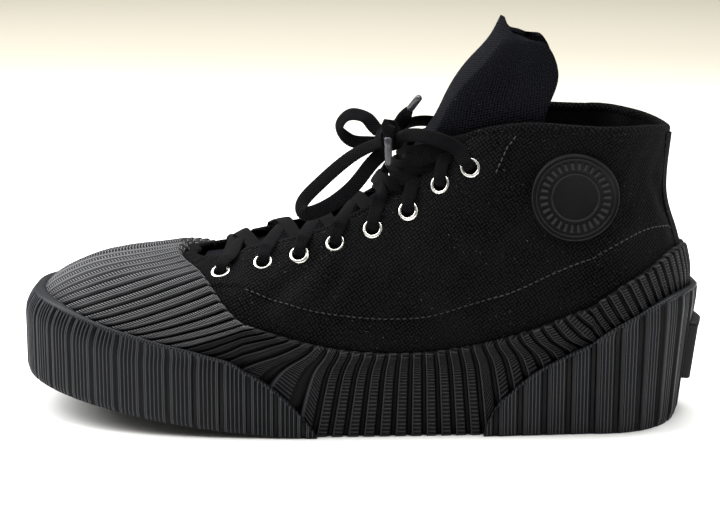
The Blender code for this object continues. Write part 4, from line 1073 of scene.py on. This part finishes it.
# Tongue above the laces, in shares of the tongue's height and, for y, of the half ball width:
# centre x and z, then x, z and y of the crease, of the wing's middle and of its rear edge
tongue = {
    "rows": (
        (0.107, 0.641, 0.121, 0.634, 0.278, 0.169, 0.590, 0.343, 0.209, 0.554, 0.463),
        (0.136, 0.686, 0.150, 0.678, 0.259, 0.232, 0.655, 0.315, 0.311, 0.616, 0.407),
        (0.169, 0.737, 0.183, 0.729, 0.268, 0.294, 0.712, 0.352, 0.413, 0.689, 0.445),
        (0.209, 0.808, 0.229, 0.802, 0.278, 0.339, 0.797, 0.370, 0.452, 0.791, 0.455),
        (0.263, 0.887, 0.285, 0.878, 0.278, 0.379, 0.873, 0.343, 0.477, 0.870, 0.407),
        (0.308, 0.949, 0.331, 0.935, 0.250, 0.390, 0.937, 0.296, 0.452, 0.938, 0.343),
        (0.345, 1.000, 0.371, 0.964, 0.194, 0.391, 0.958, 0.231, 0.411, 0.949, 0.269),
    ),
    # Below the laces: columns under the throat, how far the middle is crowned, share of the width
    "columns": (0.35, 0.5, 0.65, 0.8, 1.0, 1.15, 1.3, 1.42),
    "crown": (0.0006, 0.0008, 0.001, 0.0012, 0.0014, 0.0018, 0.0034, 0.0070),
    "width": (1.0, 1.0, 1.0, 1.0, 1.0, 1.0, 0.97, 0.8),
    "under": 0.0034,        # the canvas's outer face
    "thickness": 0.0021,
    "wrinkle": 0.0008,
    "edge": 0.0007,
}


def makeTongue():
    # One sheet: under the throat from column to column, then up through the rows above the laces
    rows = []
    for column, crown, share in zip(tongue["columns"], tongue["crown"], tongue["width"]):
        sides = []
        for side in (-1, 1):
            line = skin(np.full(3, side * column), np.array((4.5, 5.2, 5.9)), -tongue["under"])
            line[:, 1] *= share
            sides.append(line)
        centre = (sides[0][2] + sides[1][2]) / 2 + (0, 0, crown)
        rows.append(np.vstack([sides[0], centre, sides[1][::-1]]))
    for row in tongue["rows"]:
        half = np.array([(row[8], row[10], row[9]), (row[5], row[7], row[6]), (row[2], row[4], row[3])])
        half = half * (shoe["tongue"], shoe["ballOuter"], shoe["tongue"])
        near = half * (1, -1, 1)
        centre = (row[0] * shoe["tongue"], 0, row[1] * shoe["tongue"])
        rows.append(np.vstack([near, centre, half[::-1]]))
    rows = np.array(rows)
    count = len(rows)
    ups = np.linspace(0, count - 1, 110)
    # Points crowd at the crease so that it stays a clear fold
    acrosses = np.unique(np.concatenate([np.linspace(0, 6, 55), [1.9, 1.95, 2.05, 2.1, 3.9, 3.95, 4.05, 4.1]]))

    def shape(u, v):
        lines = smoothTable(np.arange(count), rows.reshape(count, -1), v).reshape(len(v), 7, 3)
        i = np.clip(u.astype(int), 0, 5)
        t = (u - i)[:, None]
        n = np.arange(len(u))
        straight = lines[n, i] * (1 - t) + lines[n, i + 1] * t
        slopes = [(lines[n, np.clip(k + 1, 0, 6)] - lines[n, np.clip(k - 1, 0, 6)]) / 2 for k in (i, i + 1)]
        curved = ((1 + 2 * t) * (1 - t) ** 2 * lines[n, i] + t * t * (3 - 2 * t) * lines[n, i + 1]
                  + t * (1 - t) ** 2 * slopes[0] + t * t * (t - 1) * slopes[1])
        point = straight * 0.5 + curved * 0.5
        upper = smoothStep(8, 12, v)
        inner = smoothStep(0, 1.2, np.minimum(u, 6 - u))
        wrinkle = tongue["wrinkle"] * upper * np.sin(v * 2.3 + np.abs(u - 3) * 1.1) * inner
        return point + np.stack([-wrinkle, 0 * wrinkle, wrinkle * 0.4], axis=1)

    ring = shape(acrosses, np.full(len(acrosses), 11.0))
    spine = shape(np.full(len(ups), 2.5), ups)
    wide, tall = runLength(ring), runLength(spine)
    sheet = gridPiece("tongueCloth", acrosses, ups, shape, materials["tongue"],
                      lambda u, v: np.stack([np.interp(u, acrosses, wide), np.interp(v, ups, tall)], axis=1))
    faceTowards(sheet, (-1, 0, 0), Vector((0.045, 0, 0.15)))
    thicken(sheet, "clothThickness", tongue["thickness"])
    soft = sheet.modifiers.new("softEdge", "BEVEL")
    soft.width = tongue["edge"]
    soft.segments = 2
    soft.limit_method = "ANGLE"
    soft.angle_limit = math.radians(50)
    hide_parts("tongue")


makeTongue()


def eyeletMatrix(column, side):
    # Turns +Z to the canvas's outside at an eyelet
    centre = skinSpot(side * column, eyelets["level"])
    along = skinSpot(side * (column + 0.01), eyelets["level"]) - skinSpot(side * (column - 0.01), eyelets["level"])
    up = skinSpot(side * column, eyelets["level"] + 0.2) - skinSpot(side * column, eyelets["level"] - 0.2)
    normal = along.cross(up).normalized() * -side
    if normal.z < 0:
        normal.negate()
    along.normalize()
    turn = Matrix((along, normal.cross(along), normal)).transposed().to_4x4()
    turn.translation = centre
    return turn


def makeEyelets():
    work = bmesh.new()
    hole, wide, rise, lift = (eyelets[k] for k in ("hole", "radius", "rise", "lift"))
    # Outer foot, dome and barrel through the canvas, flared behind it
    profile = ((wide, -0.0003), (wide, 0.2 * rise), (wide - 0.0002, lift),
               (0.5 * (hole + wide) + 0.0001, rise * 1.05), (hole + 0.0003, rise * 0.95),
               (hole, 0.3 * rise), (hole, -0.0026), (hole + 0.0009, -0.0028))
    for side in (-1, 1):
        for column in eyelets["columns"]:
            part = bmesh.new()
            spinProfile(part, profile, 36)
            bmesh.ops.recalc_face_normals(part, faces=part.faces)
            part.faces.ensure_lookup_table()
            top = max(part.faces, key=lambda f: f.calc_center_median().z)
            if top.normal.z < 0:
                bmesh.ops.reverse_faces(part, faces=part.faces)
            bmesh.ops.transform(part, matrix=eyeletMatrix(column, side), verts=part.verts)
            joinInto(work, part)
    rings = finishPiece("eyeletRings", work, materials["metal"])
    names = ["eyelet_%s_%d" % (word, n) for word in ("outer", "inner") for n in range(1, 9)]
    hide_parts(*names)


makeEyelets()
print("tongue and eyelets set")

crossing = {
    "rise": 0.0042,         # of a crossing above the flaps' edges
    # Centres of the three crossings that lie on the tongue, and the way from there to its corners
    "high": {4: (0.021, 0.0, 0.797), 5: (0.044, 0.0, 0.846), 6: (0.058, 0.0, 0.896)},
    "corner": (0.0036, 0.0176, -0.0006),
    "aboveEyelet": 0.0021,  # off the canvas at the flap's edge
    "throughHole": ((-0.0028, -0.0002), (0.0004, 0.0002), (0.0020, 0.0022)),    # out, and towards the throat
    "topStrand": ((0.137, -0.455, 0.928), (0.112, -0.415, 0.955), (0.084, -0.350, 0.966), (0.062, -0.250, 0.958)),
}


def makeLacing():
    # Each strand leaves an eyelet, crosses over and goes under the other flap to the next eyelet
    work = bmesh.new()
    width, thin = lace["width"], lace["thickness"]
    frames = {(side, k): eyeletMatrix(c, side) for side in (-1, 1) for k, c in enumerate(eyelets["columns"])}

    def outOfHole(side, k, heelward):
        # Route, facings and widths up through an eyelet and over the edge of its flap
        turn = frames[side, k]
        normal, centre = turn.col[2].to_3d(), turn.translation
        column = eyelets["columns"][k]
        rim = skinSpot(side * (column + heelward), 5.92, crossing["aboveEyelet"])
        inward = (rim - centre).normalized()
        spots = [centre + normal * out + inward * along for out, along in crossing["throughHole"]]
        spots += [centre.lerp(rim, 0.62) + normal * 0.0014, rim]
        up = (skinSpot(side * column, 5.92, 0.01) - skinSpot(side * column, 5.92)).normalized()
        faces = [-inward + normal * 0.3, -inward * 0.7 + normal, normal, normal, up]
        widths = [lace["holeWidth"], lace["holeWidth"], lace["holeWidth"] * 1.08, width * 0.93, width]
        return spots, faces, widths

    def addStrand(spots, faces, widths):
        ribbonWork(work, [tuple(p) for p in spots], [tuple(f) for f in faces], widths, thin)

    last = len(eyelets["columns"]) - 1
    for k in range(last):
        columnA, columnB = eyelets["columns"][k], eyelets["columns"][k + 1]
        middle = (columnA + columnB) / 2
        centre = (skinSpot(-middle, 6.0, 0.0009) + skinSpot(middle, 6.0, 0.0009)) / 2
        centre.z += crossing["rise"]
        lengthwise = (skinSpot(-middle - 0.05, 6.0) - skinSpot(-middle + 0.05, 6.0)).normalized()
        up = lengthwise.cross(Vector((0, 1, 0)))
        if up.z < 0:
            up.negate()
        if k in crossing["high"]:
            centre = Vector(shoePoint(crossing["high"][k]))
            up = Vector((-0.83, 0, 0.56))
            lengthwise = Vector((0.56, 0, 0.83))
        for side in (-1, 1):
            spots, faces, widths = outOfHole(side, k, 0.3 * (middle - columnA))
            layer = 0.0010 if side > 0 else -0.0004
            # Above the throat the strand also bends round both corners of the tongue
            for turn in (side, 0, -side) if k in crossing["high"] else (0,):
                shift = Vector(crossing["corner"])
                shift.y *= turn
                spots.append(centre + shift - lengthwise * width * 0.36 * turn * side if turn else centre + up * layer)
                faces.append((-0.6, turn * 0.8, 0.1) if turn else up)
                widths.append(width)
            under = skinSpot(-side * (columnB - 0.2 * (columnB - middle)), 5.97, 0.0010)
            dive = skinSpot(-side * columnB, 5.72, -shoe["canvas"] - 0.0008)
            hid = skinSpot(-side * columnB, 5.3, -shoe["canvas"] - 0.0009)
            edgeUp = (skinSpot(-side * columnB, 5.9, 0.01) - skinSpot(-side * columnB, 5.9)).normalized()
            if k in crossing["high"]:
                spots += [under.lerp(dive, 0.35), dive, hid]
            else:
                spots += [under.lerp(dive, 0.5) + Vector((0, side * 0.0012, 0)), dive, hid]
            faces += [edgeUp] * 3
            widths += [width * 0.95, width * 0.9, width * 0.85]
            addStrand(spots, faces, widths)
    # Bar across the toe-most pair, its ends down in the holes
    near, nearFaces, nearWidths = outOfHole(-1, 0, 0.0)
    far, farFaces, farWidths = outOfHole(1, 0, 0.0)
    first = eyelets["columns"][0]
    middle = (skinSpot(-first, 6.0) + skinSpot(first, 6.0)) / 2 + Vector((0, 0, 0.0030))
    addStrand(near + [middle] + far[::-1], nearFaces + [(-0.25, 0, 1)] + farFaces[::-1],
              nearWidths + [width] + farWidths[::-1])
    # From the top eyelets up to the knot
    for side in (-1, 1):
        spots, faces, widths = outOfHole(side, last, -0.05)
        spots, faces, widths = spots[:3], faces[:3], widths[:3]
        for x, y, z in crossing["topStrand"]:
            spots.append(Vector(shoePoint((x, y * -side, z))))
            faces.append((-0.3, side, 0.6))
            widths.append(width)
        spots.append(Vector(shoePoint(lace["knot"])) + Vector((0.003, side * 0.004, 0.0015)))
        faces.append((-0.5, side, 0.5))
        widths.append(width * 0.75)
        addStrand(spots, faces, widths)
    strands = finishPiece("laceStrands", work, materials["lace"])
    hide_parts("lace_crossings")


makeLacing()


def makeKnot():
    # Core of the knot with two turns of braid pulled round it
    work = bmesh.new()
    centre = Vector(shoePoint(lace["knot"]))
    size = Vector(lace["knotSize"])
    core = bmesh.new()
    bmesh.ops.create_icosphere(core, subdivisions=4, radius=1.0)
    for vert in core.verts:
        p = vert.co
        crease = 0.12 * math.exp(-(p.z - 0.3 * p.x) ** 2 / 0.03)
        fold = 1 + 0.07 * math.sin(4 * p.x + 2.2 * p.z) * math.cos(3.1 * p.y) - crease
        vert.co = Vector((p.x * size.x * 0.82, p.y * size.y * 0.86, p.z * size.z * 0.86)) * fold
    bmesh.ops.transform(core, matrix=Matrix.Translation(centre), verts=core.verts)
    core.loops.layers.uv.new("UVMap")
    joinInto(work, core)
    for tilt, reach, shift in ((0.5, 0.94, 0.0008), (-0.35, 0.88, -0.0012)):
        angles = np.linspace(0, 2 * math.pi * 0.97, 14)
        turn = Matrix.Rotation(tilt, 3, "X") @ Matrix.Rotation(0.35, 3, "Z")
        spots, faces = [], []
        for a in angles:
            out = Vector((math.cos(a) * size.x, 0, math.sin(a) * size.z)) * reach
            spots.append(tuple(centre + turn @ (out + Vector((0, shift, 0)))))
            faces.append(tuple(turn @ Vector((math.cos(a), 0, math.sin(a)))))
        ribbonWork(work, spots, faces, [lace["width"] * 0.82] * len(angles), lace["thickness"])
    knot = finishPiece("laceKnot", work, materials["lace"])
    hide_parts("lace_knot")


makeKnot()
print("laced")

# Badge: its centre in shares of the length and the collar height, rings and bars of its radius
badge = {
    "place": (0.302, 0.784),
    "radius": 0.0190,
    "field": 0.0012,
    "rise": 0.0006,
    "edge": 0.0007,
    "bars": 30,
    "barSpan": (0.62, 0.80),
    "rings": ((0.965, 0.016), (0.875, 0.013), (0.53, 0.013)),       # place and half width
}


def badgeSpots(x, z):
    # Spot and level on the outer side that lie at x and z, by a few corrected guesses
    s = np.full(len(x), -2.2)
    level = np.full(len(x), 4.2)
    for turn in range(12):
        here = skin(s, level)
        dx, dz = x - here[:, 0], z - here[:, 2]
        bs = (skin(s - 0.01, level) - here) / 0.01
        bl = (skin(s, level + 0.01) - here) / 0.01
        det = bs[:, 0] * bl[:, 2] - bl[:, 0] * bs[:, 2]
        s = np.clip(s - np.clip((dx * bl[:, 2] - bl[:, 0] * dz) / det, -0.3, 0.3), -2.95, -1.5)
        level = np.clip(level + np.clip((bs[:, 0] * dz - dx * bs[:, 2]) / det, -0.5, 0.5), 1, 6)
    return s, level


def makeBadge():
    # Plain round patch: rim, inner ring and a ring of short bars between them
    shares = np.concatenate([np.linspace(0, 0.45, 6), np.linspace(0.48, 0.58, 10),
                             np.linspace(0.6, 0.82, 16), np.linspace(0.83, 1.0, 24), [1.001]])
    angles = np.linspace(0, 2 * math.pi, 241)

    def raised(u, v):
        # Share of the rise: two rings by the edge, one inside, short bars between
        lines = [np.exp(-((v - at) / wide) ** 2) for at, wide in badge["rings"]]
        low, high = badge["barSpan"]
        bar = smoothStep(0.1, 0.4, np.cos(u * badge["bars"]))
        bar = bar * smoothStep(low, low + 0.02, v) * smoothStep(high, high - 0.02, v)
        return np.clip(sum(lines) + bar, 0, 1)

    def shape(u, v):
        x = badge["place"][0] * shoe["length"] + badge["radius"] * v * np.cos(u)
        z = badge["place"][1] * shoe["collar"] + badge["radius"] * v * np.sin(u)
        s, level = badgeSpots(x, z)
        lift = badge["field"] + badge["rise"] * raised(u, v) - badge["edge"] * smoothStep(0.975, 1.0, v)
        return skin(s, level, np.where(v > 1.0, 0.0, lift))

    # The raised rings and bars get the rubber's painted highlight, the lower field part of its painted shade
    patch = gridPiece("ankleBadge", angles, shares, shape, materials["badge"],
                      lambda u, v: np.stack([u * 0.01, 0.22 - 0.22 * raised(u, v)], axis=1), closed=True)
    faceTowards(patch, (0, -1, 0))
    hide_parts("ankle_badge")


makeBadge()

tab = {"width": 0.024, "bottom": 0.016, "height": 0.0265, "thickness": 0.0038, "border": 0.0007, "edge": 0.0004}


def makeHeelTab():
    # Bare moulded patch with a raised border and rounded corners
    steps = np.array((-1.001, -1, -0.985, -0.95, -0.91, -0.89, -0.84, -0.82, -0.7, -0.45, -0.2, 0.0,
                      0.2, 0.45, 0.7, 0.82, 0.84, 0.89, 0.91, 0.95, 0.985, 1, 1.001))

    def shape(u, v):
        corner = 1 - 0.035 * np.abs(u * v) ** 12
        across, up = np.clip(u, -1, 1) * corner, np.clip(v, -1, 1) * corner
        reach = tab["width"] / 2 / (heelX - heelFanX) / (math.pi / 2)
        s = np.where(across < 0, -3 - across * reach, 3 - across * reach)
        z = tab["bottom"] + tab["height"] * (up + 1) / 2
        edge = np.maximum(np.abs(u), np.abs(v))
        raised = smoothStep(0.82, 0.84, edge) * smoothStep(1.0, 0.95, edge)
        out = tab["thickness"] - tab["border"] * (1 - raised) - tab["edge"] * smoothStep(0.95, 1.0, edge)
        radius = wallRadius(s, z, bumperHeight(np.abs(s)))
        return place(s, radius + np.where(edge > 1.0, -0.0012, out), z)

    patch = gridPiece("heelTab", steps, steps, shape, materials["sole"], lambda u, v: np.stack([u, v], axis=1))
    faceTowards(patch, (1, 0, 0))
    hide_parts("heel_tab")


makeHeelTab()

footbed = {"inset": -0.0031, "rise": 0.003, "press": 0.0012, "thickness": 0.0026}


def makeFootbed():
    # Lined footbed, dished across and pressed down at heel and ball
    alongs = np.linspace(0.02, 2.95, 130)
    acrosses = np.linspace(-1, 1, 33)

    def shape(u, v):
        near, far = skin(-u, 1.0, footbed["inset"]), skin(u, 1.0, footbed["inset"])
        share = ((v + 1) / 2)[:, None]
        point = near * (1 - share) + far * share
        press = footbed["press"] * (1 - v ** 2) * (0.6 + 0.4 * np.cos((u - 0.5) * 3.0))
        point[:, 2] += footbed["rise"] - press
        return point

    bed = gridPiece("footbedCloth", alongs, acrosses, shape, materials["lining"],
                    lambda u, v: np.stack([u * 0.09, v * 0.04], axis=1))
    faceTowards(bed, (0, 0, 1))
    thicken(bed, "footbedThickness", footbed["thickness"])
    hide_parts("insole")


makeFootbed()

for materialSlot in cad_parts["outsole"].material_slots:
    materialSlot.material = materials["sole"]
print("badge, tab and footbed placed")

# Floor and soft studio light
studio = {
    "floor": 6.0,
    "key": ((-1.5, 0.3, 1.3), 1.4, 62),
    "top": ((0.2, 0.5, 1.9), 2.0, 78),
    "side": ((1.4, -0.5, 1.0), 0.8, 6),
    "world": "f4f3ef",
    "worldStrength": 0.2,
}
work = bmesh.new()
bmesh.ops.create_grid(work, x_segments=4, y_segments=4, size=studio["floor"])
floorMesh = bpy.data.meshes.new("paperFloor")
work.to_mesh(floorMesh)
work.free()
floorMesh.materials.append(materials["paper"])
floor = bpy.data.objects.new("paperFloor", floorMesh)
bpy.context.collection.objects.link(floor)
for key in ("key", "top", "side"):
    where, size, power = studio[key]
    lamp = bpy.data.lights.new(key + "Light", "AREA")
    lamp.size = size
    lamp.energy = power
    light = bpy.data.objects.new(key + "Light", lamp)
    light.location = where
    light.rotation_euler = (Vector((0, 0, 0.05)) - Vector(where)).to_track_quat("-Z", "Y").to_euler()
    bpy.context.collection.objects.link(light)
world = bpy.data.worlds.new("studioWorld")
world.use_nodes = True
world.node_tree.nodes["Background"].inputs[0].default_value = hexColor(studio["world"])
world.node_tree.nodes["Background"].inputs[1].default_value = studio["worldStrength"]
bpy.context.scene.world = world
bpy.context.scene.view_settings.view_transform = "Standard"      # keeps the blacks as deep as the photo's
print("studio lit")
